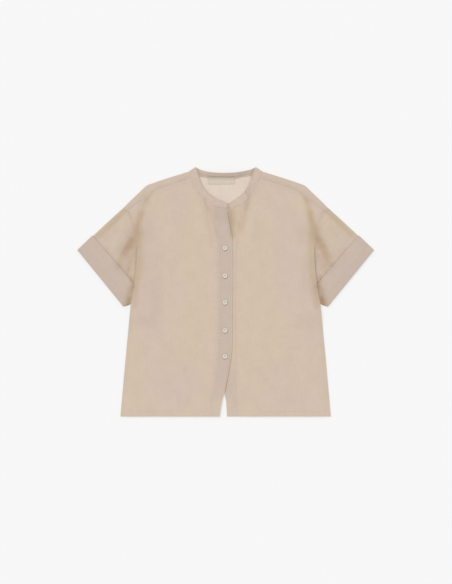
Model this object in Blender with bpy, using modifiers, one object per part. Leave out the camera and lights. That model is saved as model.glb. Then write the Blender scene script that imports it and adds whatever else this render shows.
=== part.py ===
"""A band-collar blouse with a button front and turned-back cuffs, laid flat with its front up.

+X points to the wearer's left, +Y from the hem to the neck and +Z up off the surface that the blouse
lies on. The origin is on that surface, under the middle of the garment. Tables and sizes are in
millimetres, and MM turns them into metres where a mesh is made. What is alike on both halves is
written once, as distances out from the middle line, and side turns it round: RIGHT is the wearer's
right, at -X, and LEFT the wearer's left.

Each cloth piece is drawn as its outer face, and its wall is added on the inner side.
"""

from collections import namedtuple

import bmesh
import bpy
import numpy as np

MM = 0.001
RIGHT, LEFT = -1, 1

# Walls
CLOTH = 1.0
BAND_WALL = 1.3
CUFF_WALL = 1.8
LABEL_WALL = 1.0

# Spaces: between pieces sewn edge to edge, between pieces that lie on each other, and between the
# front and the back where the cloth lies loose
SEAM_GAP = 0.4
LAID_GAP = 0.4
LOOSE_GAP = 1.5

# Outer radius of the soft folds at the shoulder and the sleeve, at the cuff and at the collar's tips
FOLD_RADIUS = (2 * CLOTH + LOOSE_GAP) / 2
CUFF_RADIUS = 2.5
LEFT_BAND_UNDERSIDE = CLOTH + LAID_GAP
RIGHT_BAND_UNDERSIDE = LEFT_BAND_UNDERSIDE + BAND_WALL + LAID_GAP
TIP_RADIUS = (RIGHT_BAND_UNDERSIDE + BAND_WALL) / 2
FOLD_STEPS = 4

HEM_Y = -312.5

Place = namedtuple("Place", "out y")
SIDE_SEAM = [
    Place(260.9, HEM_Y),
    Place(248.7, -172.0),
    Place(236.6, -31.6),
    Place(231.6, -4.1),
    Place(224.1, 48.4),
    Place(222.0, 78.0),
]
ARMHOLE = [
    Place(222.0, 78.0),
    Place(221.6, 116.0),
    Place(227.0, 150.0),
    Place(230.5, 176.0),
    Place(235.5, 189.5),
    Place(244.1, 200.9),
]
# The end of the armhole that is tucked under the side of the body
ARMHOLE_TUCKED = [Place(222.4, 78.0), Place(213.0, 60.0), Place(199.0, 52.0)]
ARMHOLE_OVER_SHOULDER = [Place(244.1, 200.9), Place(254.9, 209.2)]
SHOULDER_FOLD = [
    Place(254.9, 209.2),
    Place(240.6, 223.7),
    Place(215.6, 247.5),
    Place(197.6, 264.2),
    Place(184.3, 269.6),
    Place(139.3, 284.7),
    Place(92.9, 299.2),
]
SHOULDER_SEAM = [
    Place(244.1, 200.9),
    Place(210.8, 227.2),
    Place(195.3, 240.9),
    Place(184.1, 247.6),
    Place(162.0, 258.0),
    Place(139.1, 264.9),
]
SLEEVE_TOP = [Place(254.9, 209.2), Place(276.0, 190.4), Place(330.2, 137.2)]
SLEEVE_UNDERARM = [Place(199.0, 52.0), Place(203.0, 22.0), Place(211.0, -5.0)]
CUFF_UPPER = [
    Place(331.8, 138.6),
    Place(316.6, 121.2),
    Place(269.1, 66.0),
    Place(234.1, 25.9),
    Place(211.0, -5.0),
]
CUFF_LOWER = [Place(368.4, 103.4), Place(311.2, 33.2), Place(254.1, -37.1)]
CUFF_UNDERARM = [Place(211.0, -5.0), Place(236.6, -30.8), Place(254.1, -37.1)]

# The collar band, section by section. seam is where it is sewn on and top its free edge; lift is how
# far the free edge stands up. Its right end lies on top, and the left one passes under it.
Section = namedtuple("Section", "seam_x seam_y top_x top_y lift")
RIGHT_TIP = Section(-92.5, 299.3, -74.9, 311.0, 0.0)
LEFT_TIP = Section(92.5, 299.3, 74.9, 311.0, 0.0)
RIGHT_END = Section(2.8, 207.4, 4.7, 219.4, 0.0)
RIGHT_AT_PLACKET = Section(-33.0, 217.3, -24.8, 232.0, 0.0)
RIGHT_AT_SHOULDER = Section(-86.7, 283.5, -66.8, 287.5, 0.0)
LEFT_END = Section(-12.0, 209.3, -10.0, 221.3, 0.0)
LEFT_AT_EDGE = Section(4.0, 207.8, 8.2, 219.6, 0.0)
LEFT_AT_PLACKET = Section(40.0, 216.4, 30.4, 234.6, 0.0)
LEFT_AT_SHOULDER = Section(86.2, 283.0, 64.6, 287.5, 0.0)
BACK_MIDDLE = Section(0.0, 280.5, 0.0, 295.8, 13.0)

BAND_RIGHT = [
    RIGHT_END,
    Section(-9.0, 209.6, -4.5, 223.7, 0.0),
    RIGHT_AT_PLACKET,
    Section(-47.0, 227.7, -37.5, 240.8, 0.0),
    Section(-60.9, 240.3, -49.9, 252.5, 0.0),
    Section(-74.1, 257.2, -59.9, 267.5, 0.0),
    RIGHT_AT_SHOULDER,
    Section(-90.0, 293.0, -70.0, 300.0, 0.0),
]
BAND_LEFT = [
    LEFT_END,
    LEFT_AT_EDGE,
    Section(22.0, 209.4, 17.4, 225.4, 0.0),
    LEFT_AT_PLACKET,
    Section(53.4, 227.2, 40.3, 242.2, 0.0),
    Section(64.0, 238.5, 49.3, 251.0, 0.0),
    Section(74.0, 257.0, 58.0, 265.5, 0.0),
    LEFT_AT_SHOULDER,
    Section(89.8, 292.3, 69.2, 300.0, 0.0),
]
BAND_BACK = [
    Section(-77.0, 291.8, -66.3, 305.6, 1.4),
    Section(-67.6, 288.2, -60.9, 303.2, 3.4),
    Section(-45.9, 283.4, -42.5, 298.6, 9.0),
    Section(-20.0, 281.0, -19.0, 296.2, 12.0),
    BACK_MIDDLE,
    Section(24.0, 281.6, 22.0, 296.8, 12.0),
    Section(40.0, 285.0, 38.0, 298.9, 9.5),
    Section(66.0, 289.6, 60.9, 303.8, 3.4),
    Section(77.0, 292.8, 66.3, 306.2, 1.4),
]

# The two button bands down the front edges, level by level: the edge sewn to the front and the free
# edge. Below the last button they swing apart.
Level = namedtuple("Level", "y sewn_x free_x")
PLACKET_RIGHT = [
    Level(206.8, -33.3, 2.0),
    Level(188.0, -29.5, 5.7),
    Level(159.0, -24.8, 11.7),
    Level(134.0, -21.6, 16.2),
    Level(88.0, -19.6, 17.2),
    Level(-34.0, -19.4, 17.2),
    Level(-137.0, -20.0, 16.0),
    Level(-169.0, -22.6, 12.9),
    Level(-214.0, -28.5, 5.7),
    Level(-252.0, -33.5, -2.4),
    Level(-272.0, -36.0, -8.3),
    Level(-296.0, -38.5, -12.3),
    Level(HEM_Y, -39.5, -14.6),
]
PLACKET_LEFT = [
    Level(207.4, 40.0, 4.4),
    Level(159.0, 34.0, -2.0),
    Level(108.0, 28.0, -8.0),
    Level(50.0, 26.0, -9.5),
    Level(-137.0, 26.0, -9.0),
    Level(-214.0, 27.0, -6.2),
    Level(-253.0, 28.2, -2.9),
    Level(-272.0, 29.0, 0.6),
    Level(-296.0, 30.2, 2.4),
    Level(HEM_Y, 31.0, 3.2),
]

# The short vent at the middle of the back hem, a little wider than the gap between the plackets
VENT_TOP = Place(-4.5, -238.0)
VENT_RIGHT_X = -19.0
VENT_LEFT_X = 7.5

# How high the tucked sleeve and cuff lift the side of the body, and how far in from the side
Rise = namedtuple("Rise", "y height")
TUCK = [
    Rise(-100.0, 0.0),
    Rise(-48.0, 5.5),
    Rise(30.0, 5.5),
    Rise(50.0, 4.2),
    Rise(84.0, 4.1),
    Rise(128.0, 0.0),
]
TUCK_FLAT_OUT = 193.0
TUCK_END_OUT = 150.0

# Width over which the front panel rises from its side seam, and drops or rises to its placket
SIDE_SLOPE = 22.0
PLACKET_SLOPE = 45.0
SIDE_PINCH = [Rise(30.0, LAID_GAP), Rise(90.0, LOOSE_GAP)]

# Soft ridges (height over 0) and troughs of the two fronts, and of both sleeves, each along a line
Crease = namedtuple("Crease", "x0 y0 x1 y1 width height")
FRONT_CREASES = [
    Crease(-209.0, 224.0, -222.0, 150.0, 9.0, -1.0),
    Crease(-197.0, 216.0, -203.0, 140.0, 14.0, 1.4),
    Crease(211.0, 223.0, 222.0, 152.0, 9.0, -1.0),
    Crease(199.0, 214.0, 205.0, 136.0, 14.0, 1.4),
    Crease(-54.0, 222.0, -34.0, 158.0, 8.0, -0.9),
    Crease(-66.0, 214.0, -52.0, 120.0, 14.0, 1.3),
    Crease(57.0, 222.0, 44.0, 150.0, 8.0, -0.9),
    Crease(72.0, 214.0, 62.0, 120.0, 14.0, 1.3),
    Crease(-182.0, 60.0, -178.0, -60.0, 22.0, 1.2),
    Crease(-150.0, -70.0, -158.0, -290.0, 26.0, 1.3),
    Crease(-92.0, 90.0, -98.0, -240.0, 24.0, 0.9),
    Crease(178.0, 70.0, 176.0, -70.0, 22.0, 1.2),
    Crease(148.0, -60.0, 158.0, -290.0, 26.0, 1.3),
    Crease(88.0, 60.0, 96.0, -250.0, 24.0, 0.9),
]
SLEEVE_CREASES = [
    Crease(229.0, 136.0, 268.0, 68.0, 8.0, -1.1),
    Crease(242.0, 168.0, 288.0, 92.0, 16.0, 2.0),
    Crease(234.0, 106.0, 250.0, 60.0, 8.0, 1.1),
    Crease(268.0, 176.0, 312.0, 132.0, 11.0, 0.9),
]
CREASE_END = 0.22

# Buttons: 4-hole shirt buttons on the right placket
BUTTON_X = -1.6
BUTTON_Y = [108.4, 39.1, -27.5, -97.5, -162.3]
BUTTON_RADIUS = 5.9
BUTTON_HEIGHT = 2.4
BUTTON_RIM_WIDTH = 1.5
BUTTON_DISH = 0.7
BUTTON_EDGE = 0.5
BUTTON_STEPS = 20

# The blank neck label, which bends up over the back neck seam
LABEL_RIGHT_X = -44.0
LABEL_LEFT_X = 22.0
LabelRow = namedtuple("LabelRow", "y height")
LABEL_ROWS = [
    LabelRow(267.4, 1.4),
    LabelRow(273.0, 1.4),
    LabelRow(278.6, 1.4),
    LabelRow(281.6, 3.4),
    LabelRow(285.4, 6.7),
]

Paint = namedtuple("Paint", "colour roughness")
CLOTH_PAINT = Paint((0.64, 0.52, 0.41), 0.9)
DOUBLED_PAINT = Paint((0.58, 0.48, 0.39), 0.9)
LABEL_PAINT = Paint((0.80, 0.77, 0.72), 0.8)
BUTTON_PAINT = Paint((0.78, 0.71, 0.61), 0.3)


# ---- curves and patches

CURVE_STEPS = 12


def eased(t):
    t = np.clip(t, 0.0, 1.0)
    return t * t * (3 - 2 * t)


def along_rows(value, rows):
    """The second column of a two-column table at a value of its first, level at each row."""
    rows = sorted(rows)
    result = rows[0][1]
    for low, high in zip(rows, rows[1:]):
        result = result + (high[1] - low[1]) * eased((value - low[0]) / (high[0] - low[0]))
    return result


def unit(vector):
    return vector / np.linalg.norm(vector)


def smooth_through(rows):
    """Closely spaced places on a smooth curve through the rows, of any number of columns.

    The place of row k is at index k * CURVE_STEPS.
    """
    rows = np.array(rows, float)
    ends = np.vstack([2 * rows[0] - rows[1], rows, 2 * rows[-1] - rows[-2]])
    places = []
    for before, start, end, after in zip(ends, ends[1:], ends[2:], ends[3:]):
        chord = np.linalg.norm(end - start)
        leave = unit(end - before) * chord
        arrive = unit(after - start) * chord
        for t in np.arange(CURVE_STEPS) / CURVE_STEPS:
            places.append(
                (2 * t**3 - 3 * t**2 + 1) * start
                + (t**3 - 2 * t**2 + t) * leave
                + (3 * t**2 - 2 * t**3) * end
                + (t**3 - t**2) * arrive
            )
    return np.array(places + [rows[-1]])


def spread(places, shares):
    """Places at the given shares, 0 to 1, of the length of a curve."""
    runs = np.linalg.norm(np.diff(places, axis=0), axis=1)
    lengths = np.concatenate([[0.0], np.cumsum(runs)]) / runs.sum()
    return np.stack([np.interp(shares, lengths, column) for column in places.T], axis=1)


def even(count):
    return np.linspace(0.0, 1.0, count + 1)


def half_curve(side, rows, shares):
    """A curve of one half of the garment, from a table of distances out from the middle."""
    return spread(smooth_through([(side * row.out, row.y) for row in rows]), shares)


def patch(bottom, top, first, last, across, up):
    """A grid of places filled in between four edges that meet at their corners.

    bottom and top run across, first and last run up. Row i, column j is at up[i], across[j].
    """
    u = across[None, :, None]
    v = up[:, None, None]
    corners = (
        (1 - u) * (1 - v) * bottom[0]
        + u * (1 - v) * bottom[-1]
        + (1 - u) * v * top[0]
        + u * v * top[-1]
    )
    return (
        (1 - v) * bottom[None]
        + v * top[None]
        + (1 - u) * first[:, None]
        + u * last[:, None]
        - corners
    )


def tip_outward(tip):
    """The direction, in the plane, in which the fold at a tip of the collar bulges out."""
    line = unit(np.subtract(tip[2:4], tip[:2]))
    return np.array([-line[1], line[0]]) * np.sign(line[0])


def rolled_in(tip):
    """The section where the fold at a tip begins, its radius in from the outermost line."""
    shift = -TIP_RADIUS * tip_outward(tip)
    return Section(*np.add(tip[:2], shift), *np.add(tip[2:4], shift), tip.lift)


def stretch(run, first, last, count):
    """count + 1 sections at even distances between two of those that shape a run of the band."""
    places = smooth_through(run)
    start, end = run.index(first) * CURVE_STEPS, run.index(last) * CURVE_STEPS
    if start < end:
        return spread(places[start : end + 1], even(count))
    return spread(places[end : start + 1], even(count))[::-1]


def beside(sections):
    """The panels' edge along a stretch of the band: its seam, moved out by the seam's gap."""
    out = sections[:, :2] - sections[:, 2:4]
    return sections[:, :2] + SEAM_GAP * out / np.linalg.norm(out, axis=1)[:, None]


RIGHT_TIP_START = rolled_in(RIGHT_TIP)
LEFT_TIP_START = rolled_in(LEFT_TIP)
RIGHT_RUN = BAND_RIGHT + [RIGHT_TIP_START]
LEFT_RUN = BAND_LEFT + [LEFT_TIP_START]
BACK_RUN = [RIGHT_TIP_START] + BAND_BACK + [LEFT_TIP_START]


# ---- heights


def crease_height(creases, x, y):
    """The sum of soft ridges and troughs at a place, each fading at its ends."""
    total = 0.0
    for crease in creases:
        run = np.array([crease.x1 - crease.x0, crease.y1 - crease.y0])
        length = np.linalg.norm(run)
        dx, dy = x - crease.x0, y - crease.y0
        along = (dx * run[0] + dy * run[1]) / length**2
        off = (dx * run[1] - dy * run[0]) / length
        fade = eased(along / CREASE_END) * eased((1 - along) / CREASE_END)
        total = total + crease.height * fade * np.exp(-((off / crease.width) ** 2))
    return total


def back_height(x, y):
    """The underside of the back: on the surface, and lifted over the tucked sleeves and cuffs."""
    inward = (np.abs(x) - TUCK_END_OUT) / (TUCK_FLAT_OUT - TUCK_END_OUT)
    return along_rows(y, TUCK) * eased(inward)


def side_out(y):
    """How far out the side seam or the armhole is, level with y."""
    rows = sorted((row.y, row.out) for row in SIDE_SEAM + ARMHOLE[1:])
    return np.interp(y, *zip(*rows))


def placket_x(levels, y, edge):
    rows = sorted((level.y, getattr(level, edge)) for level in levels)
    return np.interp(y, *zip(*rows))


def front_height(side, x, y):
    """The outer face of a front panel."""
    pinch = along_rows(y, SIDE_PINCH)
    loose = pinch + (LOOSE_GAP - pinch) * eased((side_out(y) - np.abs(x)) / SIDE_SLOPE)
    if side == RIGHT:
        levels, underside = PLACKET_RIGHT, RIGHT_BAND_UNDERSIDE
    else:
        levels, underside = PLACKET_LEFT, LEFT_BAND_UNDERSIDE
    distance = np.abs(x - placket_x(levels, y, "sewn_x"))
    near = eased(1 - distance / PLACKET_SLOPE)
    inside = eased((side_out(y) - np.abs(x)) / SIDE_SLOPE)
    creases = crease_height(FRONT_CREASES, x, y) * (1 - near) * inside
    gap = loose + (underside - CLOTH - loose) * near + creases
    return back_height(x, y) + CLOTH + gap + CLOTH


# ---- meshes


def paint_of(name, paint):
    material = bpy.data.materials.new(name)
    material.use_nodes = True
    shader = material.node_tree.nodes["Principled BSDF"]
    shader.inputs["Base Color"].default_value = (*paint.colour, 1.0)
    shader.inputs["Roughness"].default_value = paint.roughness
    shader.inputs["Metallic"].default_value = 0.0
    return material


def add_object(collection, name, mesh, paint):
    piece = bpy.data.objects.new(name, mesh)
    piece.data.materials.append(paint_of(name, paint))
    collection.objects.link(piece)
    return piece


def cloth_piece(collection, name, grids, wall, paint, first_face_up, closed_rings=False):
    """A wall of cloth from grids of places on its outer face, welded where they share places.

    With closed_rings each grid is a tube, and its rows are rings.
    """
    shell = bmesh.new()
    for grid in grids:
        corners = [[shell.verts.new(np.array(place) * MM) for place in row] for row in grid]
        for low, high in zip(corners, corners[1:]):
            count = len(low) if closed_rings else len(low) - 1
            for j in range(count):
                k = (j + 1) % len(low)
                shell.faces.new((low[j], low[k], high[k], high[j]))
    bmesh.ops.remove_doubles(shell, verts=shell.verts, dist=0.01 * MM)
    bmesh.ops.recalc_face_normals(shell, faces=shell.faces)
    shell.faces.ensure_lookup_table()
    shell.normal_update()
    if (shell.faces[0].normal.z > 0) != first_face_up:
        bmesh.ops.reverse_faces(shell, faces=shell.faces)
    mesh = bpy.data.meshes.new(name)
    shell.to_mesh(mesh)
    shell.free()
    piece = add_object(collection, name, mesh, paint)
    solidify = piece.modifiers.new("wall", "SOLIDIFY")
    solidify.thickness = wall * MM
    solidify.offset = -1
    return piece


def with_height(plan, height):
    """A grid of places in the plane, each at its height."""
    return np.dstack([plan, height(plan[..., 0], plan[..., 1])])


# ---- pieces

SIDE_ROWS = 18
ARMHOLE_ROWS = 7
FRONT_ROWS = even(SIDE_ROWS + ARMHOLE_ROWS)
BACK_ROWS = even(SIDE_ROWS + ARMHOLE_ROWS + 1)
VENT_ROWS = 3
STRIP_ROWS = 2
SHOULDER_COLUMNS = 9
FRONT_NECK_COLUMNS = 6
BACK_NECK_COLUMNS = 6
NECK_SHARE = 0.66
SIDE_CROWDING = 1.15
PLACKET_COLUMNS = 3

# Shares of the shoulder's length, closer together near the armhole
SHOULDER_SHARES = even(SHOULDER_COLUMNS) ** SIDE_CROWDING


def across_panel(neck_count):
    """Shares across a panel from its side, with one at the corner of shoulder and neck."""
    neck = NECK_SHARE + (1 - NECK_SHARE) * even(neck_count)
    return np.concatenate([SHOULDER_SHARES * NECK_SHARE, neck[1:]])


def armhole_line(side):
    return half_curve(side, ARMHOLE, even(ARMHOLE_ROWS))


def body_edge(side):
    """The outer edge of a body panel, up the side seam and then the armhole."""
    seam = half_curve(side, SIDE_SEAM, even(SIDE_ROWS))
    return np.vstack([seam, armhole_line(side)[1:]])


def vent_edge(side, neck_middle):
    """The middle edge of half of the back: up the vent and then up the middle line."""
    hem_x = VENT_RIGHT_X if side == RIGHT else VENT_LEFT_X
    vent = np.array([(hem_x, HEM_Y), (VENT_TOP.out, VENT_TOP.y)])
    middle = np.array([vent[1], neck_middle])
    low = spread(vent, even(VENT_ROWS))
    high = spread(middle, even(len(BACK_ROWS) - 1 - VENT_ROWS))
    return np.vstack([low, high[1:]])


def shoulder_seam(side, offset, neck_end):
    """The forward shoulder seam, moved up or down by offset, from the armhole to the neck."""
    rows = [(side * row.out, row.y + offset) for row in SHOULDER_SEAM]
    return spread(smooth_through(rows + [tuple(neck_end)]), SHOULDER_SHARES)


def shoulder_wrap(side):
    """The back's cloth from the shoulder fold over to the forward seam, fold and strip in one grid."""
    if side == RIGHT:
        band = stretch(RIGHT_RUN, RIGHT_TIP_START, RIGHT_AT_SHOULDER, STRIP_ROWS)
    else:
        band = stretch(LEFT_RUN, LEFT_TIP_START, LEFT_AT_SHOULDER, STRIP_ROWS)
    neck = beside(band)
    fold = half_curve(side, SHOULDER_FOLD, SHOULDER_SHARES)
    seam = shoulder_seam(side, SEAM_GAP / 2, neck[-1])
    inward = seam - fold
    inward /= np.linalg.norm(inward, axis=1)[:, None]
    turned = []
    for turn in np.linspace(0, np.pi, FOLD_STEPS + 1):
        plan = fold + inward * FOLD_RADIUS * (1 - np.sin(turn))
        height = np.full((len(plan), 1), FOLD_RADIUS * (1 - np.cos(turn)))
        turned.append(np.hstack([plan, height]))
    start = fold + inward * FOLD_RADIUS
    armhole = spread(np.array([start[0], seam[0]]), even(STRIP_ROWS))
    neck[0] = start[-1]
    strip = patch(start, seam, armhole, neck, SHOULDER_SHARES, even(STRIP_ROWS))
    level = np.full(strip.shape[:2], 2 * FOLD_RADIUS)
    return np.vstack([turned, np.dstack([strip, level])[1:]])


def back_half(side):
    wrap = shoulder_wrap(side)
    tip = RIGHT_TIP_START if side == RIGHT else LEFT_TIP_START
    neck = beside(stretch(BACK_RUN, tip, BACK_MIDDLE, BACK_NECK_COLUMNS))
    top = np.vstack([wrap[0, :, :2], neck[1:]])
    edge = np.vstack([body_edge(side), top[0]])
    middle = vent_edge(side, neck[-1])
    across = across_panel(BACK_NECK_COLUMNS)
    hem = spread(np.array([edge[0], middle[0]]), across)
    plan = patch(hem, top, edge, middle, across, BACK_ROWS)
    return [with_height(plan, back_height), wrap]


def make_back(collection):
    grids = back_half(RIGHT) + back_half(LEFT)
    cloth_piece(collection, "back", grids, CLOTH, CLOTH_PAINT, first_face_up=False)


def level_line(levels, edge, neck_end):
    """An edge of a button band from the hem up to the collar band, level with the panel's rows."""
    rows = [(getattr(level, edge), level.y) for level in levels[::-1][:-1]]
    return spread(smooth_through(rows + [tuple(neck_end)]), FRONT_ROWS)


def make_front(collection, side, name, levels, band):
    """band is the stretch of the collar band from the shoulder seam to the placket."""
    neck = beside(band)
    middle = level_line(levels, "sewn_x", neck[-1]) + (side * SEAM_GAP, 0.0)
    neck[-1] = middle[-1]
    seam = shoulder_seam(side, -SEAM_GAP / 2, neck[0] - (0.0, SEAM_GAP))
    top = np.vstack([seam, neck[1:]])
    edge = body_edge(side)
    edge[-1] = top[0]
    across = across_panel(FRONT_NECK_COLUMNS)
    hem = spread(np.array([edge[0], middle[0]]), across)
    plan = patch(hem, top, edge, middle, across, FRONT_ROWS)
    grid = with_height(plan, lambda x, y: front_height(side, x, y))
    cloth_piece(collection, name, [grid], CLOTH, CLOTH_PAINT, first_face_up=True)


def make_placket(collection, name, levels, underside, band):
    """band is the stretch of the collar band from the panel to the placket's free edge."""
    neck = beside(band)
    sewn = level_line(levels, "sewn_x", neck[0])
    free = level_line(levels, "free_x", neck[-1])
    across = even(PLACKET_COLUMNS)
    hem = spread(np.array([sewn[0], free[0]]), across)
    plan = patch(hem, neck, sewn, free, across, FRONT_ROWS)
    grid = with_height(plan, lambda x, y: np.full(x.shape, underside + BAND_WALL))
    cloth_piece(collection, name, [grid], BAND_WALL, DOUBLED_PAINT, first_face_up=True)


def fold_places(edge, inward, radius, from_top):
    """The places round a folded edge, between the runs above and below it."""
    places = []
    for turn in np.linspace(0, np.pi, FOLD_STEPS + 1)[1:-1]:
        height = radius * (1 + np.cos(turn) * (1 if from_top else -1))
        places.append((*(edge + inward * radius * (1 - np.sin(turn))), height))
    return places


def inward_from(edge, other):
    """Directions square to each place of a folded edge, towards the other edge of the tube."""
    run = np.gradient(edge, axis=0)
    square = np.stack([-run[:, 1], run[:, 0]], axis=1)
    square /= np.linalg.norm(square, axis=1)[:, None]
    towards = (square * (other - edge)).sum(axis=1)
    return square * np.sign(towards)[:, None]


def tube_ring(line, start_in, end_in, radius, top_height):
    """One ring of a flattened tube: over the top, round a fold, back underneath, round the other.

    line runs from one folded edge to the other, and start_in and end_in point in from those edges.
    The run underneath takes every second place.
    """
    start, end = line[0] + start_in * radius, line[-1] + end_in * radius
    top = [start, *line[1:-1], end]
    under = [end, *line[1:-1:2][::-1], start]
    ring = [(*place, top_height(*place)) for place in top]
    ring += fold_places(line[-1], end_in, radius, from_top=True)
    ring += [(*place, 0.0) for place in under]
    ring += fold_places(line[0], start_in, radius, from_top=False)
    return ring


def flat_tube(collection, name, plan, radius, top_height, wall, paint):
    """A tube pressed flat, open at both ends. The first and last columns of plan are its folds.

    The last ring's folds turn along its own line, so that the tube ends in line with the cuff.
    """
    start_in = inward_from(plan[:, 0], plan[:, -1])
    end_in = inward_from(plan[:, -1], plan[:, 0])
    start_in[-1] = unit(plan[-1, 1] - plan[-1, 0])
    end_in[-1] = unit(plan[-1, -2] - plan[-1, -1])
    rings = []
    for line, first, last in zip(plan, start_in, end_in):
        rings.append(tube_ring(line, first, last, radius, top_height))
    cloth_piece(collection, name, [rings], wall, paint, first_face_up=True, closed_rings=True)


TUCKED_COLUMNS = 3
SLEEVE_COLUMNS = 2 * ARMHOLE_ROWS + 1 + TUCKED_COLUMNS
SLEEVE_ROWS = 9
CUFF_ROWS = 4
CREASE_CLEAR = 16.0


def with_middles(places):
    """The places, with one more halfway between each two."""
    result = [places[0]]
    for start, end in zip(places, places[1:]):
        result += [(start + end) / 2, end]
    return np.array(result)


def sleeve_height(x, y):
    """The outer face of a sleeve's front. Its creases fade out towards the body."""
    showing = eased((np.abs(x) - side_out(y)) / CREASE_CLEAR)
    return 2 * FOLD_RADIUS + crease_height(SLEEVE_CREASES, np.abs(x), y) * showing


def make_sleeve(collection, side, name):
    armhole = with_middles(armhole_line(1))[::-1]
    outline = np.array([(row.out, row.y) for row in ARMHOLE_OVER_SHOULDER])
    tucked = half_curve(1, ARMHOLE_TUCKED, even(TUCKED_COLUMNS))
    armhole = np.vstack([np.vstack([outline[1], armhole]) + (SEAM_GAP, -SEAM_GAP), tucked[1:]])
    end = spread(smooth_through(CUFF_UPPER), even(SLEEVE_COLUMNS)) + (-SEAM_GAP / 2, SEAM_GAP / 2)
    top = [tuple(armhole[0])] + SLEEVE_TOP[1:-1] + [tuple(end[0])]
    underarm = [tuple(armhole[-1])] + SLEEVE_UNDERARM[1:-1] + [tuple(end[-1])]
    top = spread(smooth_through(top), even(SLEEVE_ROWS))
    underarm = spread(smooth_through(underarm), even(SLEEVE_ROWS))
    plan = patch(armhole, end, top, underarm, even(SLEEVE_COLUMNS), even(SLEEVE_ROWS)) * (side, 1)
    flat_tube(collection, name, plan, FOLD_RADIUS, sleeve_height, CLOTH, CLOTH_PAINT)


def cuff_height(x, y):
    """The outer face of a cuff's front, flat all over."""
    return 2 * CUFF_RADIUS


def make_cuff(collection, side, name):
    upper = spread(smooth_through(CUFF_UPPER), even(SLEEVE_COLUMNS)) + (SEAM_GAP / 2, -SEAM_GAP / 2)
    lower = spread(smooth_through(CUFF_LOWER), even(SLEEVE_COLUMNS))
    outer = spread(np.array([upper[0], lower[0]]), even(CUFF_ROWS))
    underarm = [tuple(upper[-1])] + CUFF_UNDERARM[1:]
    underarm = spread(smooth_through(underarm), even(CUFF_ROWS))
    plan = patch(upper, lower, outer, underarm, even(SLEEVE_COLUMNS), even(CUFF_ROWS)) * (side, 1)
    flat_tube(collection, name, plan, CUFF_RADIUS, cuff_height, CUFF_WALL, DOUBLED_PAINT)


HIDDEN_END_COLUMNS = 1

# Across the band: a share of its width, and the share of its lift there. It stays flat at its seam.
Rib = namedtuple("Rib", "share lift")
BAND_PROFILE = [Rib(0.0, 0.0), Rib(0.3, 0.0), Rib(0.62, 0.42), Rib(1.0, 1.0)]


def band_section(section, height):
    """The places across the band at one section, on its outer face."""
    seam, top, lift = np.array(section[:2]), np.array(section[2:4]), section[4]
    places = []
    for rib in BAND_PROFILE:
        places.append((*(seam + (top - seam) * rib.share), height + lift * rib.lift))
    return places


def band_tip(tip):
    """The sections round the fold at a tip of the collar, from its front face to its back face."""
    shift = TIP_RADIUS * tip_outward(tip)
    start = rolled_in(tip)
    rows = []
    for turn in np.linspace(0, np.pi, FOLD_STEPS + 3)[1:-1]:
        seam = start[:2] + shift * np.sin(turn)
        top = start[2:4] + shift * np.sin(turn)
        rows.append(band_section((*seam, *top, 0.0), TIP_RADIUS * (1 + np.cos(turn))))
    return rows


def left_band_face(section):
    """The left end of the band lies under the right one, and rises to the fold at its tip."""
    low, high = LEFT_BAND_UNDERSIDE, RIGHT_BAND_UNDERSIDE
    span = (section[0] - LEFT_AT_PLACKET.seam_x) / (LEFT_TIP_START.seam_x - LEFT_AT_PLACKET.seam_x)
    return BAND_WALL + low + (high - low) * eased(span)


def half_band(run, stops, counts):
    """The sections of a front half, from its end to its tip, stretch by stretch."""
    sections = [run[0]]
    for first, last, count in zip(stops, stops[1:], counts):
        sections += list(stretch(run, first, last, count))[1:]
    return sections


def make_collar_band(collection):
    right = half_band(
        RIGHT_RUN,
        [RIGHT_END, RIGHT_AT_PLACKET, RIGHT_AT_SHOULDER, RIGHT_TIP_START],
        [PLACKET_COLUMNS, FRONT_NECK_COLUMNS, STRIP_ROWS],
    )
    left = half_band(
        LEFT_RUN,
        [LEFT_END, LEFT_AT_EDGE, LEFT_AT_PLACKET, LEFT_AT_SHOULDER, LEFT_TIP_START],
        [HIDDEN_END_COLUMNS, PLACKET_COLUMNS, FRONT_NECK_COLUMNS, STRIP_ROWS],
    )
    back = half_band(
        BACK_RUN, [RIGHT_TIP_START, BACK_MIDDLE, LEFT_TIP_START], [BACK_NECK_COLUMNS] * 2
    )
    grid = [band_section(section, RIGHT_BAND_UNDERSIDE + BAND_WALL) for section in right]
    grid += band_tip(RIGHT_TIP)
    grid += [band_section(section, 0.0) for section in back]
    grid += band_tip(LEFT_TIP)[::-1]
    grid += [band_section(section, left_band_face(section)) for section in left[::-1]]
    cloth_piece(collection, "collar_band", [grid], BAND_WALL, DOUBLED_PAINT, first_face_up=True)


def make_label(collection):
    xs = np.linspace(LABEL_RIGHT_X, LABEL_LEFT_X, 5)
    grid = [[(x, row.y, row.height + LABEL_WALL) for x in xs] for row in LABEL_ROWS]
    cloth_piece(collection, "neck_label", [grid], LABEL_WALL, LABEL_PAINT, first_face_up=True)


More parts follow.
